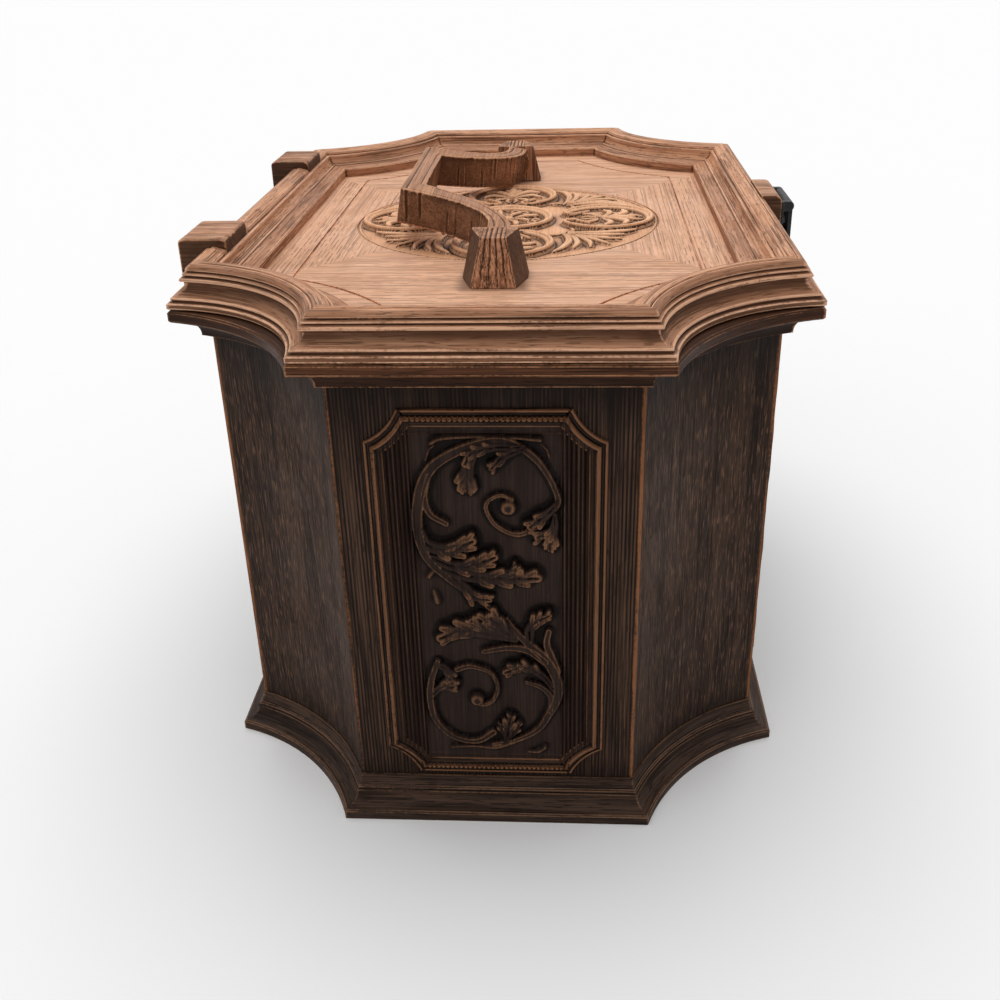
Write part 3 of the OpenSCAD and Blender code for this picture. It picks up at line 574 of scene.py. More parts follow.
# The scroll on an end panel, about the panel's middle: for each kind of stroke its lines, with half
# widths and heights at even steps along each; then its knobs' places, radii and heights, what all
# heights are multiplied by, the pitch of the panel's reeds, and half the height of its plain field
END_SCROLL = {
    "stem": (
        (
            ((1, -1.7), (-4.5, 4), (-14.7, 12.4), (-23.1, 23.4), (-24.4, 40.8), (-17.6, 57.9), (3, 67),
             (16.8, 60.7), (24.8, 45.4), (21.1, 38.3), (15.7, 32.7), (9.9, 30.6), (3.1, 34.2), (-0.1, 40),
             (0.5, 43.7), (4.8, 46.1), (8.9, 44.5)),
            (1.2, 1.8, 2.3, 1.8, 1.3, 1.1, 0.9), (1.6, 2.4, 2.6, 2.4, 2.2, 2, 2),
        ),
        (((-19.9, 53.7), (-21.8, 45.6), (-20.1, 38.8), (-14.6, 34.7)), (1.2, 1.5, 1.2), (2.2, 2.4, 2)),
        (
            ((6, -5.6), (7.8, -8.7), (13.3, -15.2), (20.6, -23.2), (24.7, -33.3), (24.3, -41.2),
             (21.2, -48.4), (16.9, -55.8), (8.1, -61.4), (-0.4, -63.6)),
            (1.2, 1.8, 2.2, 2, 1.6, 1.2, 1), (1.6, 2.4, 2.6, 2.4, 2.4, 2.2, 1.8),
        ),
        (((21.5, -10.2), (20.7, -16), (22.9, -22.7), (24.7, -28.2)), (1.3, 1.6, 1.4), (2.2, 2.2, 2)),
        (((19.9, -23.7), (13.9, -18.8), (6.5, -17.6), (-2.9, -19.5)), (1.8, 1.6, 1.2), (2.4, 2.4, 2.2)),
        (((22, -47), (22, -39.9), (18.6, -35.7), (13, -33.5)), (1.2, 1.4, 1), (2.2, 2.2, 1.8)),
        (
            ((-20.5, -24.4), (-23.2, -32.8), (-24.2, -41.7), (-23, -50.3), (-19.4, -56.6), (-13.7, -60.9),
             (-6.3, -61.7), (-0.2, -57.4)),
            (1.2, 1.6, 1.5, 1.4, 1.3, 1.5), (2.2, 2.4, 2.4, 2.4, 2.2, 2.2),
        ),
        (
            ((-13.2, -27.9), (-9.6, -26.5), (-5.5, -26.9), (-0.2, -29.6), (1.9, -36), (-0.2, -42.2),
             (-4.5, -44.2), (-7.9, -41.4)),
            (1.3, 1.1, 1, 1, 1), (2.2, 2.2, 2.2, 2.2, 2),
        ),
    ),
    "leaf": (
        (((11.8, 64.8), (3.2, 64.8), (-4, 62.9), (-6.9, 58.7)), (1.4, 2.2, 2), (2.6, 2.8, 3)),
        (((-3.7, 61.8), (-6.3, 56.1), (-6.7, 46.8)), (2, 3.4, 0.9), (2.4, 2.2, 1.6)),
        (((13.4, 64.1), (6.6, 61.4), (2, 56.9)), (1.2, 2.2, 1.5), (2.4, 2.6, 2.8)),
        (((24.6, 43.8), (21.8, 39.9), (15.1, 34.3)), (1.2, 2.6, 1.9), (2.4, 2.8, 3)),
        (((23.9, 38.7), (23.1, 32.7), (17.8, 29.5)), (1.2, 2.4, 2.2), (2, 2, 1.6)),
        (((23.9, 38.7), (23.1, 31.9), (21.7, 23.8)), (1, 2.6, 1), (1.8, 1.8, 1.2)),
        (
            ((-23.6, 32.4), (-21.5, 26.3), (-13.7, 24.7), (-5.3, 28.5)),
            (1.6, 3.2, 3.4, 2.2), (2.4, 2.6, 3, 3.2),
        ),
        (((-19.4, 25.1), (-15.9, 23.1), (-13.6, 25.1)), (1, 2, 1.2), (2, 2.6, 2.6)),
        (((-21.7, 21.8), (-12.5, 17.7), (-4.5, 19), (2.4, 22)), (1.6, 3, 3.2, 2), (2.2, 2.6, 3, 3.2)),
        (
            ((-19, 17.6), (-7.3, 13.6), (5.4, 12.9), (17.7, 13.4)),
            (1.6, 3.4, 3.6, 2.4), (2.2, 2.6, 2.8, 3.2),
        ),
        (((-14.5, 13.9), (-8.6, 8.5), (-5.8, 5.1), (0, 3.4)), (1.6, 2.6, 2.6, 1.6), (2.2, 2.6, 2.4, 2.2)),
        (((5.4, 15.4), (8.3, 16.2), (9.5, 17.9)), (1, 1.6, 1.2), (2.4, 2.8, 2.8)),
        (((9.2, -14), (1.1, -11.4), (-10, -9.8), (-18.8, -13)), (1.6, 3.6, 3.6, 2.4), (2.2, 2.6, 2.8, 3.2)),
        (((-1.9, -10.6), (-5.5, -7.5), (-9.9, -7.6)), (1.2, 2, 1.2), (2.2, 2.6, 2.6)),
        (((4.8, -12.2), (-1.8, -8.8), (-6.9, -4.9)), (1.2, 2.4, 1.6), (2.2, 2.8, 3)),
        (((9.2, -14), (4.8, -9.6), (0.2, -3.9)), (1.4, 3.6, 3), (2.2, 2.8, 3)),
        (((14.7, -16.1), (14.5, -9.4), (17.5, -5), (21.9, -2.3)), (1.4, 2.8, 2.2, 1.4), (2.2, 2.8, 3, 3.2)),
        (((23.2, -36.6), (19.4, -30.6), (12.7, -26.1), (5.1, -28.1)), (1.4, 2, 2.4, 2), (2.2, 2.4, 2.8, 3)),
        (((15.7, -28.4), (13.5, -26.6), (12, -25.2)), (1.2, 1.8, 1.4), (2.4, 2.8, 2.8)),
        (((-23.6, -40.8), (-20.3, -36.4), (-14.9, -35.4)), (1.2, 2, 2.2), (2.2, 2.6, 2.8)),
        (((-21.3, -25.3), (-17.6, -27.5), (-15.9, -32.2)), (1.4, 2.2, 1.8), (2.2, 2.6, 2.8)),
        (((4.3, -62), (5.6, -56), (6.6, -48.7)), (1.2, 2.6, 1), (2.2, 2.8, 2.4)),
        (((4.8, -60), (3.3, -56.6), (2.6, -53.2)), (1, 1.4, 0.8), (2, 2.4, 2)),
        (((5.9, -59.9), (8.4, -56.5), (10, -52.5)), (1, 1.4, 0.8), (2, 2.4, 2)),
    ),
    "bead": (
        (((-19.3, 1.9), (-20.4, 6.6)), (1.6, 1), (1.4, 1)),
        (((-22, 12.6), (-19.9, 15.1)), (1.2, 0.9), (1.4, 1)),
        (((-17.1, -65.4), (-8.3, -64.7), (0.3, -65), (7.5, -61.9)), (0.7, 0.9, 1.4), (1.2, 1.4, 2)),
        (((13.3, -67.2), (17.2, -67.1), (19.9, -64.6)), (0.7, 0.9, 1.1), (1, 1.2, 1.6)),
        (((-18.6, 65.9), (-13.7, 67.7), (3.3, 68.1), (18.9, 67.1)), (1.1, 0.8, 0.6, 1), (1.6, 1.2, 1, 1.6)),
        (((-20.7, 59.1), (-19.4, 62.9), (-17.6, 64.7)), (0.5, 0.6, 0.5), (0.8, 0.9, 0.8)),
        (((19.2, 65.2), (21.2, 63), (21.9, 60)), (0.5, 0.6, 0.5), (0.8, 0.9, 0.8)),
    ),
}
END_KNOBS = ((7.5, 41.4, 3, 2.6), (-6.1, -41.6, 2.8, 2.6), (-15.2, -33.1, 1.6, 2.8))
SCROLL_DEPTH = 1.35
REED_PITCH = 1.6
FIELD_HALF_H = 69.3

# Leaves in the roundel, in the ring on the X axis and in the gap on it, one of each pair: line, half
# widths and heights
RING_LEAVES = (
    (((44, 0.8), (49, 3), (53.5, 8), (52.5, 12.5)), (0.9, 1.9, 2.1, 1.3), (2.4, 3.2, 3.6, 3.2)),
    (((43, 1.5), (45.5, 5.5), (46.5, 10), (44, 13.4)), (0.8, 1.6, 1.8, 1.1), (2.2, 2.8, 3.2, 2.8)),
    (((41, 1.5), (39.8, 4.5), (37.6, 7), (34.5, 7.6)), (0.8, 1.4, 1.5, 0.9), (2.2, 2.6, 2.8, 2.4)),
    (((47, 0.6), (52.5, 1.4), (57.5, 3.4), (60.8, 2.6)), (0.8, 1.3, 1.3, 0.8), (2.4, 2.8, 2.8, 2.2)),
    (((33, 1.2), (36.5, 2.2), (40.5, 1.2)), (0.7, 1.3, 0.8), (2, 2.6, 2.2)),
)
GAP_LEAVES = (
    (
        ((37, 1.5), (43.5, 5), (50, 10.6), (54.5, 18.6), (55.6, 25)),
        (0.9, 1.6, 1.9, 1.7, 0.8), (2.2, 2.8, 3.2, 3.2, 2.4),
    ),
    (((41, 1.6), (48, 4.6), (54, 9.4), (57.5, 15.4)), (0.9, 1.6, 1.7, 0.9), (2.2, 2.8, 3, 2.4)),
    (((44, 1), (51, 2.4), (57, 5), (61.4, 9.2)), (0.8, 1.5, 1.6, 0.8), (2.2, 2.8, 3, 2.4)),
    (((38, 2.2), (36.5, 5.6), (33.6, 7.4)), (0.8, 1.3, 0.8), (2, 2.4, 2)),
)


def turned(points, angle):
    """Points turned about the origin by an angle in degrees."""
    cos, sin = math.cos(math.radians(angle)), math.sin(math.radians(angle))
    return [(x * cos - y * sin, x * sin + y * cos) for x, y in points]


def polar(middle, radius, angle):
    """Point at a distance from a middle, in a direction given in degrees."""
    a = math.radians(angle)
    return middle[0] + radius * math.cos(a), middle[1] + radius * math.sin(a)


def arc_points(middle, radius, start, end, n):
    """Points on an arc between two angles in degrees; radius may be a pair, for a spiral."""
    first, last = radius if isinstance(radius, tuple) else (radius, radius)
    shares = np.linspace(0, 1, n)
    return [polar(middle, first + (last - first) * f, start + (end - start) * f) for f in shares]


def carve_scroll(relief, way, out):
    """The end panel's scroll, out to one side of the middle, and mirrored where way is -1."""
    for kind, strokes in END_SCROLL.items():
        for line, widths, heights in strokes:
            line = [(way * (u + out), v) for u, v in line]
            heights = [SCROLL_DEPTH * h for h in heights]
            if kind == "leaf":
                relief.leaf(line, widths, heights)
            else:
                relief.stroke(kind, line, widths, heights)
    for u, v, radius, height in END_KNOBS:
        relief.knob(way * (u + out), v, radius, SCROLL_DEPTH * height)


def carve_pairs(relief, leaves, angle):
    """Leaves given beside the X axis, with their mirror images, all turned by an angle."""
    for line, widths, heights in leaves:
        for side in (1, -1):
            relief.stroke("petal", turned([(x, side * y) for x, y in line], angle), widths, heights)


def carve_ring(relief, angle):
    """One outer ring of the roundel: a C-scroll with turned-in ends, open to the middle, round a flower."""
    opens, curl_r = 152, 3.2
    carve_pairs(relief, RING_LEAVES, angle)
    relief.stroke("petal", turned([(45, 0), (50, 0), (55, 0)], angle), (1, 1.9, 1.6), (2.6, 3.2, 3.6))
    relief.knob(*turned([(56, 0)], angle)[0], 2.3, 4)
    relief.knob(*turned([(44, 0)], angle)[0], 1.8, 3.4)
    for side in (1, -1):
        eye = polar((RING_OUT, 0), RING_R - curl_r, side * opens)
        curl = arc_points(eye, (curl_r, 2.8), side * opens, side * (opens + 170), 12)
        end = (curl[-1][0] + 5.5, curl[-1][1] + side * 4.6)
        for grow, half, height in ((-0.8, 1.8, 2.5), (0.3, 1.25, 3.8)):
            line = arc_points((RING_OUT, 0), RING_R + grow, 0, side * opens, 16) + curl[1:] + [end]
            widths = [half * share for share in (1, 1, 1, 0.8, 0.6)]
            relief.stroke("band", turned(line, angle), widths, (height, height, height, 3))


def carve_tuft(relief, angle):
    """Long leaves that spread in the gap between two rings, from a knob."""
    carve_pairs(relief, GAP_LEAVES, angle)
    relief.stroke("petal", turned([(44, 0), (54, 0), (63.5, 0)], angle), (1, 1.7, 0.8), (2.4, 3, 2.4))
    relief.knob(*turned([(41, 0)], angle)[0], 2.2, 3.4)


def carve_middle(relief):
    """Ring in the middle of the roundel, round a flower of long and short leaves and small scrolls."""
    for radius, half, height in ((RING_R - 1.9, 2.1, 2.5), (RING_R - 0.9, 1.4, 3.8)):
        relief.stroke("band", arc_points((0, 0), radius, 0, 360, 48), (half, half), (height, height))
    for k in range(8):
        angle = 45 * k + 22
        reach, width = (13.6, 1.8) if k % 2 == 0 else (10.4, 1.5)
        leaf = turned([(3.5, 0), (reach * 0.6, 0.9), (reach, -1)], angle)
        relief.stroke("petal", leaf, (0.9, width, 1.2), (2.2, 3.2, 3.4))
        if k % 2:
            for side in (1, -1):
                curl = arc_points((12.6, side * 2.4), (2.2, 1.3), side * -100, side * 190, 8)
                relief.stroke("petal", turned(curl, angle), (0.9, 0.8), (2.6, 2.4))
    relief.knob(0, 0, 2.8, 3)


def panel_ground(field):
    """Ground of a carved panel: plain out to field from its middle line, then a fine line, then reeds;
    and a fine line near its upper and lower ends."""

    def ground(u, v):
        reeds = 1.0 + 0.5 * np.cos(2 * math.pi * u / REED_PITCH)
        plain = 0.5 + 0.6 * near(np.abs(u), field, 0.35)
        shown = np.where(np.abs(u) > field + 0.9, reeds, plain)
        return shown + 0.5 * near(np.abs(v), FIELD_HALF_H, 0.35)

    return ground


# Materials


class NodeTree:
    """Node tree that grows by calls, each of which adds a node and returns one of its outputs."""

    def __init__(self, tree):
        self.tree = tree
        tree.nodes.clear()

    def add(self, kind, inputs=None, output=0, **settings):
        """Node with sockets or plain values on its inputs; a shader node goes by its short name."""
        made = self.tree.nodes.new(kind if "Node" in kind else "ShaderNode" + kind)
        for key, value in settings.items():
            setattr(made, key, value)
        for key, value in (inputs or {}).items():
            if isinstance(value, bpy.types.NodeSocket):
                self.tree.links.new(value, made.inputs[key])
            else:
                made.inputs[key].default_value = value
        return made.outputs[output]

    def maths(self, operation, a, b=0.0):
        """What a Math node makes of a and b."""
        return self.add("Math", {0: a, 1: b}, operation=operation)

    def times(self, a, b):
        """a times b."""
        return self.maths("MULTIPLY", a, b)

    def plus(self, a, b):
        """a plus b."""
        return self.maths("ADD", a, b)

    def less(self, a, b):
        """a less b."""
        return self.maths("SUBTRACT", a, b)


class Shader(NodeTree):
    """Node tree of a material or a world."""

    def __init__(self, owner):
        owner.use_nodes = True
        super().__init__(owner.node_tree)
        self.owner = owner

    def place(self):
        """Where a point lies on its piece."""
        return self.add("TexCoord", output="Object")

    def parts(self, vector):
        """The three parts of a vector."""
        made = self.tree.nodes.new("ShaderNodeSeparateXYZ")
        self.tree.links.new(vector, made.inputs[0])
        return made.outputs

    def attribute(self, key, output="Fac"):
        """A point attribute of the piece, which is 0 where the piece has none of that name."""
        return self.add("Attribute", output=output, attribute_name=key)

    def noise(self, vector, scale, detail=3, roughness=0.55):
        """Noise over a vector whose parts are scaled by scale, in waves a metre."""
        scaled = self.add("VectorMath", {0: vector, 1: scale}, operation="MULTIPLY")
        keys = {"Vector": scaled, "Scale": 1.0, "Detail": detail, "Roughness": roughness}
        return self.add("TexNoise", keys)

    def between(self, value, low, high, to_low=0.0, to_high=1.0):
        """Smooth step of value from low to high."""
        keys = {"Value": value, "From Min": low, "From Max": high, "To Min": to_low, "To Max": to_high}
        return self.add("MapRange", keys, interpolation_type="SMOOTHSTEP")

    def blend(self, share, a, b):
        """Colour between a and b."""
        return self.add("Mix", {0: share, 6: a, 7: b}, output=2, data_type="RGBA")

    def bump(self, height, strength, depth):
        """Normal of a surface that rises and falls with height, by depth in millimetres."""
        return self.add("Bump", {"Strength": strength, "Distance": depth * MM, "Height": height})

    def close(self, **inputs):
        """Ends the tree in a Principled BSDF."""
        keys = {key.replace("_", " "): value for key, value in inputs.items()}
        return self.end(self.add("BsdfPrincipled", keys))

    def end(self, surface, kind="Material"):
        """Joins a shader to the output of the material or the world."""
        end = self.tree.nodes.new("ShaderNodeOutput" + kind)
        self.tree.links.new(surface, end.inputs["Surface"])
        return self.owner


def colour(red, green, blue):
    """Linear colour from the levels 0 to 255 that a screen shows."""
    levels = [c / 255 for c in (red, green, blue)]
    return (*(((c + 0.055) / 1.055) ** 2.4 if c > 0.04 else c / 12.92 for c in levels), 1.0)


def shaded(shade, factor):
    """A colour made darker by a factor."""
    return (*(c * factor for c in shade[:3]), 1.0)


def grain_vector(s, grain):
    """Vector whose first part runs along the grain: the piece's own attribute, or Object coordinates
    read in the order that grain names."""
    if grain is None:
        return s.attribute("grain", "Vector")
    parts = s.parts(s.place())
    return s.add("CombineXYZ", {i: parts["XYZ".index(axis)] for i, axis in enumerate(grain)})


def rows(s, v, pitch):
    """Wave across the grain, a pitch in millimetres long, whose crests wander a little."""
    wander = s.times(s.noise(v, (6, 90, 90), 2), 9.0)
    turns = s.times(s.parts(v)[1], 2 * math.pi / (pitch * MM))
    return s.maths("SINE", s.plus(turns, wander))


def glazed_oak(
    name, deep, light, worn_and_light, grain=None, cracks=0.8, pores=0.6, lines=0.4, reeds=0.0, figured=0.0,
    bump=1.0, chipped=2.2, dashed=0.0, dark=0.22, vector=None, darkened=None,
):
    """Open-grained wood under a dark glaze. Worn edges show the light wood, hollows hold the glaze, and
    painted highlights and painted shade come in with them: worn_and_light is the colour of worn wood and
    of painted highlights, and the wear_and_light and glaze_and_shade attributes also carry painted shade.
    cracks and pores are how dark the grain's long splits and short dashes are, lines how strong its
    fine lines, reeds the depth of even furrows along it, and figured the flame figure in the hollows,
    which also get painted shade. chipped is how unevenly wear, dirt and painted light lie, dashed how
    dark the rows of dashes along the grain are, and dark how much of the deep colour the dirt and
    painted shade keep. vector(shader) may give the grain, and darkened(shader, mottle) where the
    surface is darker."""
    s = Shader(bpy.data.materials.new(name))
    v = vector(s) if vector else grain_vector(s, grain)
    place = s.place()
    streaks = s.noise(v, (5, 150, 150), 3)
    fibres = s.noise(v, (26, 1250, 1250), 3, 0.6)
    threads = s.noise(v, (9, 1200, 1200), 2, 0.5)
    mottle = s.noise(place, (38, 38, 38), 4)
    specks = s.noise(place, (700, 700, 700), 4, 0.7)
    # Colour of the dirt, and of the painted shade in hollows, creases and beside the carving
    grime_and_shade = shaded(deep, dark)

    # The wood's own tone, from streaks and fibres
    tone = s.plus(s.times(streaks, 0.4), s.times(fibres, 0.6))
    shown = s.blend(s.between(tone, 0.36, 0.62), deep, light)
    shown = s.blend(s.between(threads, 0.53, 0.64, 0.0, lines), shown, shaded(deep, 0.45))
    shown = s.blend(s.between(mottle, 0.45, 0.72, 0.0, 0.3), shown, shaded(deep, 0.7))

    # How deeply the surface is cut: splits and pores, then figure, reeds and rows of dashes
    split = s.maths("ABSOLUTE", s.less(s.noise(v, (11, 900, 900), 2), 0.5))
    split = s.between(split, 0.05, 0.025)
    split = s.times(split, s.between(s.noise(v, (14, 150, 150), 2), 0.5, 0.6))
    dashes = s.between(s.noise(v, (120, 1500, 1500), 1), 0.60, 0.66)
    cut = s.maths("MAXIMUM", s.times(split, cracks), s.times(dashes, pores))

    if figured:
        contour = s.noise(v, (5, 26, 26), 1)
        flame = s.between(s.maths("SINE", s.times(contour, 130.0)), 0.2, 0.9)
        flame = s.times(flame, s.between(s.noise(v, (80, 1100, 1100), 1), 0.40, 0.56))
        flecks = s.between(s.noise(v, (150, 1300, 1300), 1), 0.56, 0.66)
        hollow = s.attribute("figure")
        # Painted shade: the corner hollows are darker
        shown = s.blend(s.times(hollow, 0.35), shown, shaded(deep, 0.6))
        cut = s.maths("MAXIMUM", cut, s.times(s.times(flame, hollow), figured))
        shown = s.blend(s.times(s.times(flecks, hollow), 0.55), shown, shaded(light, 1.9))
    if reeds:
        furrow = s.between(rows(s, v, 1.35), 0.1, -0.75)
        furrow = s.times(furrow, s.between(s.noise(v, (9, 260, 260), 2), 0.38, 0.5, 0.35, 1.0))
        furrow = s.times(furrow, s.less(1.0, s.attribute("figure")))
        cut = s.maths("MAXIMUM", cut, s.times(furrow, reeds))
    if dashed:
        dash = s.between(rows(s, v, 1.9), -0.5, -0.95)
        dash = s.times(dash, s.between(s.noise(v, (130, 420, 420), 1), 0.46, 0.54))
        dash = s.times(dash, s.between(s.noise(v, (9, 60, 60), 2), 0.42, 0.56, 0.15, 1.0))
        cut = s.maths("MAXIMUM", cut, s.times(dash, dashed))

    # Glaze and painted shade, bare wood on worn edges and painted highlights, dirt and painted shade in the
    # hollows, and dirt in the cuts
    shown = s.blend(s.times(s.attribute("glaze_and_shade"), s.between(tone, 0.75, 0.3, 0.85, 1.0)), shown, grime_and_shade)
    broken = s.plus(s.less(specks, 0.5), s.less(fibres, 0.5))
    broken = s.plus(broken, s.times(s.less(mottle, 0.5), 0.9))
    handled = s.noise(place, (13, 13, 13), 1)
    broken = s.plus(broken, s.times(s.less(handled, 0.5), 0.9))
    wear_and_light = s.times(s.attribute("wear_and_light"), s.plus(s.times(broken, chipped), 1.0))
    bare_and_lit = s.between(wear_and_light, 0.15, 0.85, 0.0, 0.85)
    held_and_shaded = s.between(wear_and_light, -0.12, -0.6, 0.0, 0.94)
    shown = s.blend(bare_and_lit, shown, worn_and_light)
    shown = s.blend(held_and_shaded, shown, grime_and_shade)
    shown = s.blend(s.times(cut, s.less(1.0, s.times(bare_and_lit, 0.6))), shown, grime_and_shade)
    if darkened:
        shown = s.blend(darkened(s, mottle), shown, shaded(deep, 0.3))

    height = s.less(s.times(fibres, 0.35), cut)
    normal = s.bump(height, 0.8, 0.4 * bump)
    rough = s.between(mottle, 0.3, 0.7, 0.44, 0.62)
    return s.close(Base_Color=shown, Roughness=rough, Normal=normal, Specular_IOR_Level=0.1)


def mitred_grain(s):
    """Grain that runs beside each edge of the lid's field and turns at its mitres."""
    x, y, z = s.parts(s.place())
    ends = s.maths("GREATER_THAN", s.less(s.maths("ABSOLUTE", y), s.maths("ABSOLUTE", x)), 0.001)
    lengthways = s.add("CombineXYZ", {0: y, 1: x, 2: z})
    crossways = s.add("CombineXYZ", {0: x, 1: s.plus(y, 0.7), 2: z})
    return s.add("Mix", {0: ends, 4: lengthways, 5: crossways}, output=1, data_type="VECTOR")


def darker_round_posts(s, mottle):
    """Darker patches on the lid's field round the feet of the two posts."""
    x, y, _ = s.parts(s.place())
    squares = []
    for part, middle in ((x, 0.0), (y, POST_Y * MM)):
        apart = s.maths("ABSOLUTE", s.less(s.maths("ABSOLUTE", part), middle))
        gap = s.maths("MAXIMUM", s.less(apart, POST_FOOT * MM), 0.0)
        squares.append(s.times(gap, gap))
    off = s.maths("SQRT", s.plus(*squares))
    return s.between(s.plus(off, s.times(mottle, 5 * MM)), 7.5 * MM, 2 * MM, 0.0, 0.8)


def cloth(name, shade, thread):
    """Plain woven cloth with its threads along X and Y."""
    s = Shader(bpy.data.materials.new(name))
    place = s.place()
    threads = {"Vector": place, "Scale": thread, "Distortion": 0.4}
    warp, weft = (s.add("TexWave", threads, output=1, bands_direction=way) for way in "XY")
    weave = s.times(warp, weft)
    cloud = s.noise(place, (30, 30, 30), 3)
    tone = s.plus(s.times(weave, 0.5), s.times(cloud, 0.5))
    shown = s.blend(tone, shaded(shade, 0.5), shade)
    normal = s.bump(weave, 0.5, 0.2)
    return s.close(Base_Color=shown, Roughness=0.85, Sheen_Weight=0.3, Normal=normal)


def metal(name, shade, scuffed, roughness, metallic=1.0):
    """Metal with fine scratches, brighter where its edges are scuffed."""
    s = Shader(bpy.data.materials.new(name))
    place = s.place()
    scratches = s.noise(place, (90, 90, 1400), 3)
    cloud = s.noise(place, (160, 160, 160), 4)
    edge = s.between(s.plus(s.attribute("wear_and_light"), s.less(cloud, 0.5)), 0.25, 0.9)
    shown = s.blend(s.times(cloud, 0.5), shade, shaded(shade, 0.6))
    shown = s.blend(edge, shown, scuffed)
    rough = s.between(scratches, 0.35, 0.7, roughness, roughness + 0.18)
    normal = s.bump(scratches, 0.25, 0.05)
    return s.close(Base_Color=shown, Metallic=metallic, Roughness=rough, Normal=normal)


# Woods, metals and cloth

CASE_OAK = glazed_oak(
    "case_oak", colour(46, 31, 24), colour(92, 67, 51), colour(150, 96, 60),
    reeds=0.95, figured=0.35, bump=1.2,
)
FRAME_OAK = glazed_oak(
    "frame_oak", colour(40, 27, 21), colour(70, 49, 37), colour(134, 92, 64), pores=0.4
)
MOULDING_OAK = glazed_oak(
    "moulding_oak", colour(43, 31, 25), colour(81, 61, 49), colour(124, 92, 70), chipped=3.0
)
RIM_OAK = glazed_oak("rim_oak", colour(70, 41, 25), colour(104, 64, 40), colour(176, 126, 92))
CARVED_OAK = glazed_oak(
    "carved_oak", colour(35, 24, 20), colour(55, 39, 32), colour(142, 100, 70),
    cracks=0.4, pores=0.2, lines=0.2, bump=0.6, chipped=1.2,
)
LID_OAK = glazed_oak(
    "lid_oak", colour(182, 124, 90), colour(230, 174, 136), colour(232, 182, 148), cracks=0.75
)
TOP_OAK = glazed_oak(
    "top_oak", colour(220, 162, 122), colour(242, 186, 144), colour(254, 206, 164),
    cracks=0.0, pores=0.1, lines=0.0, bump=0.5, chipped=0.8, dark=0.035,
)
FIELD_OAK = glazed_oak(
    "field_oak", colour(216, 162, 128), colour(238, 188, 154), colour(244, 194, 158),
    cracks=0.3, pores=0.25, lines=0.6, bump=0.6, dashed=0.62, dark=0.14,
    vector=mitred_grain, darkened=darker_round_posts,
)
BLOCK_OAK = glazed_oak(
    "block_oak", colour(136, 92, 66), colour(214, 160, 124), colour(226, 168, 128)
)
HANDLE_OAK = glazed_oak(
    "handle_oak", colour(150, 102, 73), colour(196, 144, 108), colour(224, 168, 128),
    cracks=0.5, pores=0.2, lines=0.2, chipped=1.2,
)
INNER_OAK = glazed_oak(
    "inner_wood", colour(176, 132, 88), colour(212, 172, 122), colour(220, 184, 136), "YXZ", pores=0.3
)
BOARD_OAK = glazed_oak(
    "board_wood", colour(166, 122, 80), colour(200, 160, 112), colour(214, 176, 128), "YXZ", pores=0.3
)
PEG_OAK = glazed_oak(
    "peg_wood", colour(196, 156, 108), colour(226, 192, 142), colour(230, 198, 150), "ZXY", pores=0.15
)
BLACK_METAL = metal("black_metal", colour(13, 13, 14), colour(52, 50, 48), 0.5, metallic=0.2)
STEEL = metal("dull_steel", colour(150, 147, 140), colour(190, 188, 182), 0.34)
LINING = cloth("lining_cloth", colour(120, 34, 38), 900.0)


# Case

foot_section = (
    [(9.3, 0), (9.3, 3.4), (8.5, 4)]
    + cove((8.5, 4), (3.2, 9))[1:]
    + [(3.2, 9.6), (2.6, 9.8), (2.6, 10.6), (1.9, 11.4)]
    + cove((1.9, 11.4), (0.6, FOOT_H))[1:]
    + [(0.1, FOOT_H), (0.1, SEAT_Z), (-12, SEAT_Z), (-12, 0)]
)
foot = moulding("foot", foot_section, CASE_PLAN, MOULDING_OAK)
settle(foot, "case", "foot_moulding")

WALL_LEVELS = (SEAT_Z, FOOT_H + 1, 26, 140, 165, 180, SHELL_TOP)
wall_section = [(0, z) for z in WALL_LEVELS] + [(-WALL_T, SHELL_TOP), (-WALL_T, SEAT_Z)]


def wall_shade(grow, z):
    """Painted shade, thick under the rim and above the foot."""
    return float(np.interp(z, WALL_LEVELS, (0.7, 0.7, 0.1, 0, 0.25, 0.8, 1)))


walls = moulding("walls", wall_section, CASE_PLAN, CASE_OAK, arris=3.2, upright=True, glaze_and_shade=wall_shade)
settle(walls, "case", "case_shell")

rim_section = (
    [(3.4, RIM_Z)]
    + ovolo((3.4, RIM_Z + 0.6), (11, CASE_H - 4.6))
    + [(12.3, CASE_H - 4.4), (13, CASE_H - 3.7), (13, CASE_H - 0.7), (12.3, CASE_H)]
    + [(-WALL_T, CASE_H), (-WALL_T, SHELL_TOP), (0.1, SHELL_TOP), (0.1, RIM_Z)]
)


def rim_shade(grow, z):
    """Painted shade, thick in the cove and thin on the bead above it."""
    return 0.8 if z < CASE_H - 4.3 else 0.1


rim = moulding("rim", rim_section, CASE_PLAN, RIM_OAK, glaze_and_shade=rim_shade, hollow_darkening=0.6)
# Seats of the hinge brackets
cut_away(rim, [((-140, y - 20.3, 181), (-112, y + 20.3, 198)) for y in (-HINGE_Y, HINGE_Y)])
settle(rim, "case", "rim_moulding")


# Lid

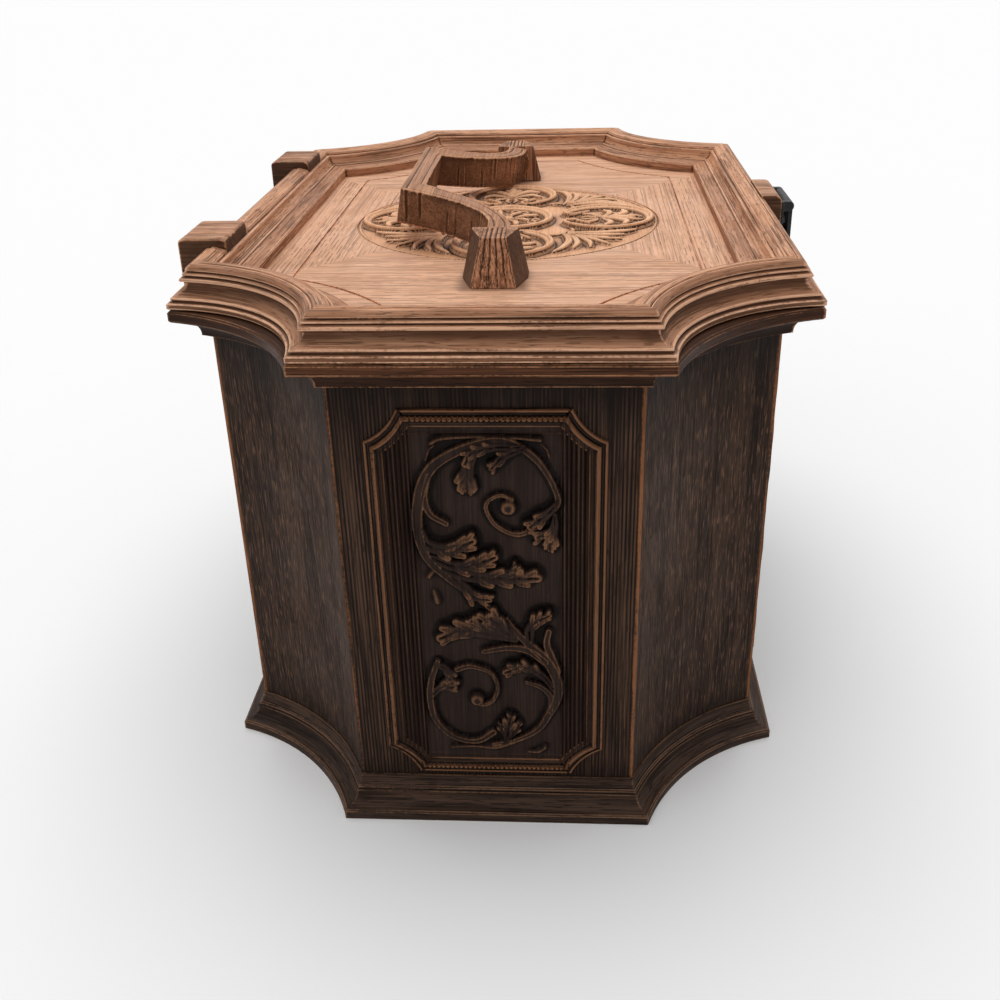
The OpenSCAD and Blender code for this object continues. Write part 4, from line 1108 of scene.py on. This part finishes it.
lid_outer = (
    [(-0.4, 0), (0, 0.4), (0, 2), (-0.5, 2.3), (-1.9, 2.6), (-1.9, 3.2), (-1.4, 3.5), (-1.5, 4)]
    + cove((-2, 4.2), (-6.3, 9))
    + [(-5, 9.3), (-4.7, 9.9), (-5, 10.5), (-6.7, 10.8), (-6.7, 11.2), (-5.9, 11.5), (-5.9, 12)]
    + [(-7.5, 12.3), (-7.5, 12.8)]
    + ovolo((-6.9, 13), (-9.6, 15.1))
    + [(-10, 14.7), (-10.6, 15.5)]
)
lid_well = (
    [(-11.6, 15.5), (-15.4, 14.4), (-15.9, 13.8), (-16.1, 13.1), (-17.3, 12.8)]
    + ovolo((-17.5, 12.4), (-20.3, 8.6), 6)
    + [(-20.8, 8.1), (-26.5, 7.1), (-27, 6.6)]
)
lid_section = [(g, LID_Z + z) for g, z in lid_outer + lid_well] + [
    (-LID_FRAME_W, PANEL_TOP),
    (-LID_FRAME_W + 3, PANEL_TOP),
    (-LID_FRAME_W + 3, LID_Z),
]

# Height above the lid's lower edge, and how thick the glaze and painted shade are there, up the outside
GLAZE_AND_SHADE_LEVELS = (
    (0, 0.85), (2.2, 0.8), (2.6, 1), (3.4, 0.6), (4.2, 0.35),
    (5.2, 0.5), (6.6, 0.85), (7.4, 1), (9, 1), (9.9, 0.45),
)


def lid_glaze_and_shade(grow, z):
    """Dark glaze and painted shade: thickest under the beads and at the top of the cove, and thin on the
    upper side.
    """
    if grow > -9:
        return float(np.interp(z - LID_Z, *zip(*GLAZE_AND_SHADE_LEVELS)))
    return 0.3 if z < LID_Z + 8.5 else 0.05


lid_rim = moulding("lid_rim", lid_section, LID_PLAN, LID_OAK, glaze_and_shade=lid_glaze_and_shade, hollow_darkening=0.07)
# Seats of the hinge blocks and the latch block
block_seats = [((-150, y - 15.1, 190), (-103.9, y + 15.1, 220)) for y in (-HINGE_Y, HINGE_Y)]
block_seats.append(((110.9, -17.1, 190), (140, 17.1, 220)))
cut_away(lid_rim, block_seats)
settle(lid_rim, "lid", "lid_frame")


# Frames and carvings on the walls


def on_wall(turn, distance):
    """Place on a wall, from the middle of its panel: u to the right, v up and h out of the wall."""
    cos, sin = math.cos(math.radians(turn)), math.sin(math.radians(turn))

    def place(u, v, h):
        out = -(distance + h)
        return np.c_[u * cos - out * sin, u * sin + out * cos, PANEL_Z + PANEL_H / 2 + v]

    return place


frame_section = (
    [(0, 0.05), (0, 1.2), (-0.3, 1.6), (-0.8, 1.6), (-1.1, 1.2), (-2.1, 1.2), (-2.3, 1.5)]
    + [(-2.4, 2.2), (-2.7, 2.7), (-3.2, 3.0), (-3.7, 2.8), (-4.1, 2.2), (-4.3, 1.3)]
    + [(-5.4, 1.0), (-6.4, 0.9), (-7, 0.05)]
)


def nicked(points, along, row, outline, place, half):
    """Cuts nicks across the main bead of a frame's level runs, and lays the frame on its wall."""
    u, v, h = points.T
    bead = (outline[row, 0] < -2.2) & (outline[row, 0] > -4.2)
    level = (np.abs(v) > half[1] - 8) & (np.abs(u) < half[0] - FRAME_NOTCH - 1)
    nick = np.clip(np.cos(2 * math.pi * u / 1.8) * 2 - 0.6, 0, 1)
    wander = 0.12 * np.sin(along / 7.3) + 0.08 * np.sin(along / 2.9 + 1)
    return place(u, v, h - bead * (level * nick * 1.2 + (~level) * wander))


def panel_frame(side, place, half):
    """Beaded frame round a carved panel."""
    counts = (max(60, int((2 * half[0] - 2 * FRAME_NOTCH) / 0.42)), 60)
    made = moulding(
        side + "_frame_bead", frame_section, (half, NOTCH_OUT, NOTCH_R), FRAME_OAK, counts, 14,
        shape=lambda points, along, row, outline: nicked(points, along, row, outline, place, half),
    )
    settle(made, "case", side + "_frame")


def panel_carving(side, place, half, field, cell, scrolls):
    """Reeded panel with its scrolls, which ends under the middle of its frame."""
    under = FRAME_W / 2
    inner = (half[0] - under, half[1] - under)
    relief = Relief((-inner[0], -inner[1]), inner, cell, panel_ground(field))
    for way, out in scrolls:
        carve_scroll(relief, way, out)

    def keep(u, v):
        off = np.hypot(np.abs(u) - half[0] - NOTCH_OUT, np.abs(v) - half[1] - NOTCH_OUT)
        return off > NOTCH_R + under

    made = relief.piece(side + "_scrolls", CARVED_OAK, place, keep, 0.1)
    settle(made, "case", side + "_carving")


for side, turn, distance, (width, field, cell, scrolls) in WALLS:
    place, half = on_wall(turn, distance), (width / 2, PANEL_H / 2)
    panel_frame(side, place, half)
    panel_carving(side, place, half, field, cell, scrolls)


# Roundel

relief = Relief(
    (-ROUNDEL_R, -ROUNDEL_R), (ROUNDEL_R, ROUNDEL_R), 0.4, lambda u, v: ROUNDEL_GROUND + 0 * u, ground_shade=0.8
)
carve_middle(relief)
for quarter in range(4):
    carve_ring(relief, 90 * quarter)
    carve_tuft(relief, 90 * quarter + 45)
relief.stroke("band", arc_points((0, 0), ROUNDEL_R - 1.4, 0, 360, 72), (0.8, 0.8), (0.9, 0.9))
relief.soften(ROUNDEL_RISE)


def on_lid(u, v, h):
    """Place on the lid's field, into which the roundel is let."""
    return np.c_[u, v, PANEL_TOP - ROUNDEL_SUNK + h]


def in_circle(u, v):
    """Whether a point lies in the roundel."""
    return np.hypot(u, v) < ROUNDEL_R


def within_circle(u, v):
    """Draws points outside the roundel's edge in to it."""
    draw = np.minimum(1, (ROUNDEL_R - 0.2) / np.maximum(np.hypot(u, v), 1e-6))
    return u * draw, v * draw


# The roundel's ground keeps dark glaze and painted shade close round its carving
roundel = relief.piece("roundel", TOP_OAK, on_lid, in_circle, 0.1, within_circle, 0.6)
settle(roundel, "lid", "lid_roundel")


# Handle, posts and blocks


def rag(values, pitch, seed):
    """Even random ripple from 0 to 1 with about one wave every pitch millimetres."""
    chosen = np.random.default_rng(seed).random(4096)
    whole = np.floor(values / pitch).astype(int)
    share = values / pitch - whole
    share = share * share * (3 - 2 * share)
    n = len(chosen)
    return chosen[whole % n] * (1 - share) + chosen[(whole + 1) % n] * share


def rim_distance(points, on_face):
    """How far each point of a face lies from the nearest point that is not on it."""
    others = np.flatnonzero(~on_face)
    tree = KDTree(len(others))
    for k in others:
        tree.insert(points[k], int(k))
    tree.balance()
    gaps = np.zeros(len(points))
    for k in np.flatnonzero(on_face):
        gaps[k] = tree.find(points[k])[2]
    return gaps


def handle_level(points):
    """How far up the handle's thickness each point lies: -1 at its lower face, 1 at its upper one."""
    return (points - [0, 0, PIVOT_Z]) @ HANDLE_UP / HANDLE_HALF_H


def handle_glaze_and_shade(points, normals):
    """Dark glaze and painted shade on the handle's sides, in uneven patches, and thickest at their upper
    and lower edges.
    """
    level = handle_level(points)
    patches = 0.2 + 0.75 * rag(points[:, 1] + 200, 13, 3) * rag(level * 4 + 40, 3, 6) ** 0.3
    return np.clip(patches + 0.7 * np.abs(level) ** 4, 0, 0.96) * (np.abs(normals @ HANDLE_UP) < 0.6)


def handle_marks(points, normals):
    """Two beads along the handle's upper face and bark-like nicks down its sides."""
    facing = normals @ HANDLE_UP
    gaps = rim_distance(points, facing > 0.75)
    groove = 0.6 * near(gaps, 2.2, 0.45) * (facing > 0.75)
    along = np.abs(points[:, 1]) + 0.6 * points[:, 0] + 9 * np.sign(points[:, 1])
    nick = np.clip((rag(along, 1.5, 1) - 0.6) * 6, 0, 1)
    reach = np.clip(2.5 - 2.2 * np.abs(handle_level(points) - 2 * rag(along, 4, 2) + 1), 0, 1)
    return -groove - 0.5 * nick * reach * np.clip(1 - 2 * np.abs(facing), 0, 1)


def post_marks(points, normals):
    """Furrows that run up a post's nose and over its top."""
    rise = np.clip((points[:, 2] - PANEL_TOP) / POST_H, 0, 1)
    across = points[:, 0] / (8.6 - 3.9 * rise)
    nose = (np.abs(points[:, 1]) > POST_Y - 1) * np.clip(np.abs(normals[:, 1]) * 4 - 2, 0, 1)
    shown = np.clip(nose + np.clip(normals[:, 2] * 2 - 1, 0, 1), 0, 1) * (np.abs(across) < 1)
    wander = 0.12 * (rag(points[:, 2] + 40, 5, 7) - 0.5)
    furrow = near((across + wander) * 2.5 % 1, 0.5, 0.16)
    return -0.6 * shown * furrow


def post_side_shade(points, normals):
    """Painted shade on the sides of a post."""
    return 0.95 * (np.abs(normals[:, 0]) > 0.6)


def block_marks(points, normals):
    """Shallow saw marks across a block's top."""
    top = np.clip(normals[:, 2] * 2 - 1, 0, 1)
    return -0.25 * top * np.clip((rag(points[:, 1], 1.3, 5) - 0.5) * 3, 0, 1)


def block_side_shade(points, normals):
    """Painted shade on a block, except on its top."""
    return 0.97 * (normals[:, 2] < 0.5)


handle = carved_copy("handle_bar", "handle", HANDLE_OAK, 0.5, (1, 0, 2), handle_marks, handle_glaze_and_shade)
settle(handle, "handle", "handle")
for node in ("front_post", "rear_post"):
    post = carved_copy(node + "_carved", node, BLOCK_OAK, 0.35, (2, 0, 1), post_marks, post_side_shade)
    settle(post, "lid", node)
for node in ("front_hinge_block", "rear_hinge_block", "latch_block"):
    block = carved_copy(node + "_carved", node, BLOCK_OAK, 0.4, (0, 1, 2), block_marks, block_side_shade)
    settle(block, "lid", node)


# Latch

for node, body in (("latch_plate", "lid"), ("hasp", "hasp"), ("latch_keeper", "case")):
    settle(carved_copy(node + "_iron", node, BLACK_METAL, 0.3), body, node)


# Screws and pegs, each repeated on points by Geometry Nodes


class Growth(NodeTree):
    """Geometry Nodes tree with named sizes in millimetres, which puts a shape on points."""

    def __init__(self, name, sizes):
        super().__init__(bpy.data.node_groups.new(name, "GeometryNodeTree"))
        sockets = self.tree.interface
        sockets.new_socket("Points", in_out="INPUT", socket_type="NodeSocketGeometry")
        for key, size in sizes.items():
            made = sockets.new_socket(key, in_out="INPUT", socket_type="NodeSocketFloat")
            made.default_value = size * MM
        sockets.new_socket("Material", in_out="INPUT", socket_type="NodeSocketMaterial")
        sockets.new_socket("Geometry", in_out="OUTPUT", socket_type="NodeSocketGeometry")
        self.start = self.tree.nodes.new("NodeGroupInput").outputs

    def moved(self, shape, size, factor):
        """The shape moved up by size times factor."""
        up = self.add("CombineXYZ", {"Z": self.times(size, factor)})
        return self.add("GeometryNodeTransform", {"Geometry": shape, "Translation": up})

    def join(self, *shapes):
        """Several shapes as one."""
        made = self.tree.nodes.new("GeometryNodeJoinGeometry")
        for shape in shapes:
            self.tree.links.new(shape, made.inputs[0])
        return made.outputs[0]

    def repeat(self, shape, seed):
        """Puts the shape on every point with its Z along the point's aim, turned at random about it."""
        aim = self.add("GeometryNodeInputNamedAttribute", {"Name": "aim"}, data_type="FLOAT_VECTOR")
        facing = self.add("FunctionNodeAlignRotationToVector", {"Vector": aim}, axis="Z")
        range_and_seed = {2: 0.0, 3: math.pi, "Seed": seed}
        angle = self.add("FunctionNodeRandomValue", range_and_seed, 1, data_type="FLOAT")
        spin = self.add("FunctionNodeAxisAngleToRotation", {"Axis": (0, 0, 1), "Angle": angle})
        turn = self.add("FunctionNodeRotateRotation", {0: facing, 1: spin}, rotation_space="LOCAL")
        placed = {"Points": self.start["Points"], "Instance": shape, "Rotation": turn}
        copies = self.add("GeometryNodeInstanceOnPoints", placed)
        real = self.add("GeometryNodeRealizeInstances", {0: copies})
        coated = {"Geometry": real, "Material": self.start["Material"]}
        done = self.add("GeometryNodeSetMaterial", coated)
        self.tree.links.new(done, self.tree.nodes.new("NodeGroupOutput").inputs[0])
        return self.tree


SCREW_SIZES = ("Head radius", "Head height", "Shank radius", "Shank length")


def screw_tree():
    """Screw with a tapered, slotted head that stands on its point, and its shank below."""
    g = Growth("slotted_screws", dict(zip(SCREW_SIZES, (2, 1, 1.1, 6))))
    radius, height, shank_radius, length = (g.start[key] for key in SCREW_SIZES)
    cone = {"Vertices": 32, "Radius Bottom": radius, "Radius Top": g.times(radius, 0.72), "Depth": height}
    head = g.add("GeometryNodeMeshCone", cone)
    size = g.add("CombineXYZ", {"X": g.times(radius, 3), "Y": g.times(radius, 0.28), "Z": height})
    slot = g.moved(g.add("GeometryNodeMeshCube", {"Size": size}), height, 1.0)
    head = g.add("GeometryNodeMeshBoolean", {"Mesh 1": head, "Mesh 2": slot}, operation="DIFFERENCE")
    rod = {"Vertices": 16, "Radius": shank_radius, "Depth": length}
    shank = g.moved(g.add("GeometryNodeMeshCylinder", rod), length, -0.5)
    return g.repeat(g.join(head, shank), 3)


def peg_tree():
    """Turned thread peg with a collar at its foot and a round top."""
    g = Growth("thread_pegs", {"Radius": 2.6, "Height": 31})
    radius, height = g.start["Radius"], g.start["Height"]
    shaft = {"Vertices": 24, "Radius Bottom": radius, "Radius Top": g.times(radius, 0.88), "Depth": height}
    wide, low = g.times(radius, 1.15), g.times(height, 0.06)
    collar = {"Vertices": 24, "Radius Bottom": wide, "Radius Top": radius, "Depth": low}
    ball = g.add("GeometryNodeMeshUVSphere", {"Segments": 24, "Rings": 12, "Radius": radius})
    cones = [g.add("GeometryNodeMeshCone", sizes) for sizes in (shaft, collar)]
    return g.repeat(g.join(*cones, g.moved(ball, height, 1.0)), 8)


def repeated(name, tree, points, aim, sizes, material):
    """Plain mesh of what a tree makes on points, given in millimetres, all turned to one aim."""
    mesh = bpy.data.meshes.new(name)
    mesh.from_pydata((np.array(points, float) * MM).tolist(), [], [])
    put_attribute(mesh, "aim", np.tile(aim, (len(points), 1)))
    made = add_object(name, mesh)
    grow = made.modifiers.new("repeat", "NODES")
    grow.node_group = tree
    for socket in tree.interface.items_tree:
        if socket.name in sizes:
            grow[socket.identifier] = sizes[socket.name] * MM
        elif socket.name == "Material":
            grow[socket.identifier] = material
    replace_mesh(made)
    edit = bmesh.new()
    edit.from_mesh(made.data)
    bmesh.ops.remove_doubles(edit, verts=edit.verts, dist=1e-6)
    bpy.data.objects.remove(made)
    return finish_mesh(name, edit, material)


screws = screw_tree()


def place_screws(node, spots, aim, sizes, material, body):
    """The screws of one node, of given sizes, with their heads towards aim."""
    made = repeated(node[:-1] + "_heads", screws, spots, aim, dict(zip(SCREW_SIZES, sizes)), material)
    settle(made, body, node)


# Where the screws' heads and the pegs' feet stand
hinge_spots = [(-113.5, y + way * 9, 190.3) for y in (-HINGE_Y, HINGE_Y) for way in (-1, 1)]
keeper_spots = [(122.4, y, 191.7) for y in (-4.57, 4.57)]
latch_spots = [(121.1, y, 200.5) for y in (-13.8, 13.8)]
peg_spots = [(x, -101.1 + 202.2 * i / 7, 140.5) for i in range(8) for x in (-25.7, -69.3)]

place_screws("hinge_screws", hinge_spots, (-1, 0, 0), (2.15, 0.9, 1.15, 4.4), STEEL, "case")
place_screws(
    "keeper_screws", keeper_spots, (1, 0, 0), (1.55, 0.9, 0.85, 6.5), BLACK_METAL, "case"
)
place_screws(
    "latch_screws", latch_spots, (1, 0, 0), (1.95, 0.95, 1.05, 6.9), BLACK_METAL, "lid"
)

peg_sizes = {"Radius": 2.6, "Height": 31.2}
pegs = repeated("turned_pegs", peg_tree(), peg_spots, (0, 0, 1), peg_sizes, PEG_OAK)
settle(pegs, "tray", "thread_pegs")


# Lining

# The quilting's pitch, the lining's half sizes, where the posts' screws come through it, and the
# middle and radius of its corner hollows
QUILT = 26
LINING_HALF = (101, 160)
POST_SCREWS = (5, 93)
LINING_HOLLOW = ((143, 202), 102)


def quilted(u, v):
    """Puffs between stitched lines that run slantwise, and a pad over each pair of screws."""
    puff = np.abs(np.sin(math.pi * (u + v) / QUILT) * np.sin(math.pi * (u - v) / QUILT))
    off = np.hypot(np.maximum(np.abs(u) - POST_SCREWS[0], 0), np.abs(v) - POST_SCREWS[1])
    return np.maximum(0.3 + 1.5 * puff**0.4, 1.95 * (1 - np.clip(off / 7.5, 0, 1) ** 4))


def off_hollow(u, v):
    """How far a point of the lining lies from the middle of the nearest corner hollow."""
    return np.hypot(np.abs(u) - LINING_HOLLOW[0][0], np.abs(v) - LINING_HOLLOW[0][1])


def round_hollow(u, v):
    """Moves points that lie in a corner hollow out to its edge."""
    (mid_u, mid_v), r = LINING_HOLLOW
    push = np.maximum(1, r / off_hollow(u, v))
    moved = (mid + (np.abs(w) - mid) * push for w, mid in ((u, mid_u), (v, mid_v)))
    return tuple(np.sign(w) * m for w, m in zip((u, v), moved))


def under_lid(u, v, h):
    """Place under the lid's panel, h down from it."""
    return np.c_[u, v, LID_Z - 0.1 - h]


def outside_hollows(u, v):
    """Whether a point lies clear of the corner hollows."""
    return off_hollow(u, v) > LINING_HOLLOW[1] - 0.5


quilt = Relief((-LINING_HALF[0], -LINING_HALF[1]), LINING_HALF, 1.4, quilted)
lining = quilt.piece("quilted_lining", LINING, under_lid, outside_hollows, 0.02, round_hollow)
settle(lining, "lid", "lid_lining")


# What stays as the CAD made it

finishes = {
    "bottom_board": BOARD_OAK,
    "tray": INNER_OAK,
    "tray_dividers": INNER_OAK,
    "tray_ledges": BOARD_OAK,
    "lid_panel": FIELD_OAK,
    "front_hinge_bracket": BLACK_METAL,
    "rear_hinge_bracket": BLACK_METAL,
    "hasp_pin": BLACK_METAL,
}
for node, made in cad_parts.items():
    made.data.materials.clear()
    made.data.materials.append(finishes.get(node, STEEL))


# Stage, light and camera


def make_stage():
    """Pale floor that keeps the box's shadow."""
    s = Shader(bpy.data.materials.new("floor_paper"))
    paper = s.end(s.add("BsdfDiffuse", {"Color": (0.97, 0.97, 0.97, 1.0)}))
    mesh = bpy.data.meshes.new("floor")
    mesh.from_pydata([(-6, -6, 0), (6, -6, 0), (6, 6, 0), (-6, 6, 0)], [], [(0, 1, 2, 3)])
    mesh.materials.append(paper)
    add_object("floor", mesh)


def make_world(level):
    """World that lights the box at level and shows white behind it and in its reflections."""
    world = bpy.data.worlds.new("studio")
    s = Shader(world)
    ray = s.tree.nodes.new("ShaderNodeLightPath").outputs
    mirrored = s.maths("MAXIMUM", ray["Is Glossy Ray"], ray["Is Transmission Ray"])
    seen = s.maths("MAXIMUM", ray["Is Camera Ray"], mirrored)
    strength = s.add("MapRange", {"Value": seen, "To Min": level})
    s.end(s.add("Background", {"Color": (1, 1, 1, 1), "Strength": strength}), "World")
    bpy.context.scene.world = world


def make_sun(name, bearing, height, spread, strength):
    """Soft far lamp: the direction it stands in, its height above the horizon and its spread, in
    degrees, and its strength."""
    lamp = bpy.data.lights.new(name, "SUN")
    lamp.angle, lamp.energy = math.radians(spread), strength
    made = add_object(name, lamp)
    made.rotation_euler = (math.radians(90 - height), 0, math.radians(bearing + 90))


def make_camera():
    """The camera that was found from the photograph."""
    lens = bpy.data.cameras.new("camera")
    lens.sensor_width = 36
    lens.lens = lens.sensor_width * CAMERA_FOCUS / PICTURE_W
    made = add_object("camera", lens)
    right, ahead, up = (Vector(column) for column in zip(*CAMERA_TURN))
    turn = Matrix((right, up, -ahead)).transposed()
    made.matrix_world = Matrix.Translation(Vector(CAMERA_AT) * MM) @ turn.to_4x4()
    bpy.context.scene.camera = made


make_stage()
make_world(0.33)
make_sun("overhead_light", 100, 72, 70, 2.05)
make_sun("side_light", -120, 35, 60, 0.35)
make_camera()
bpy.context.scene.view_settings.view_transform = "Standard"
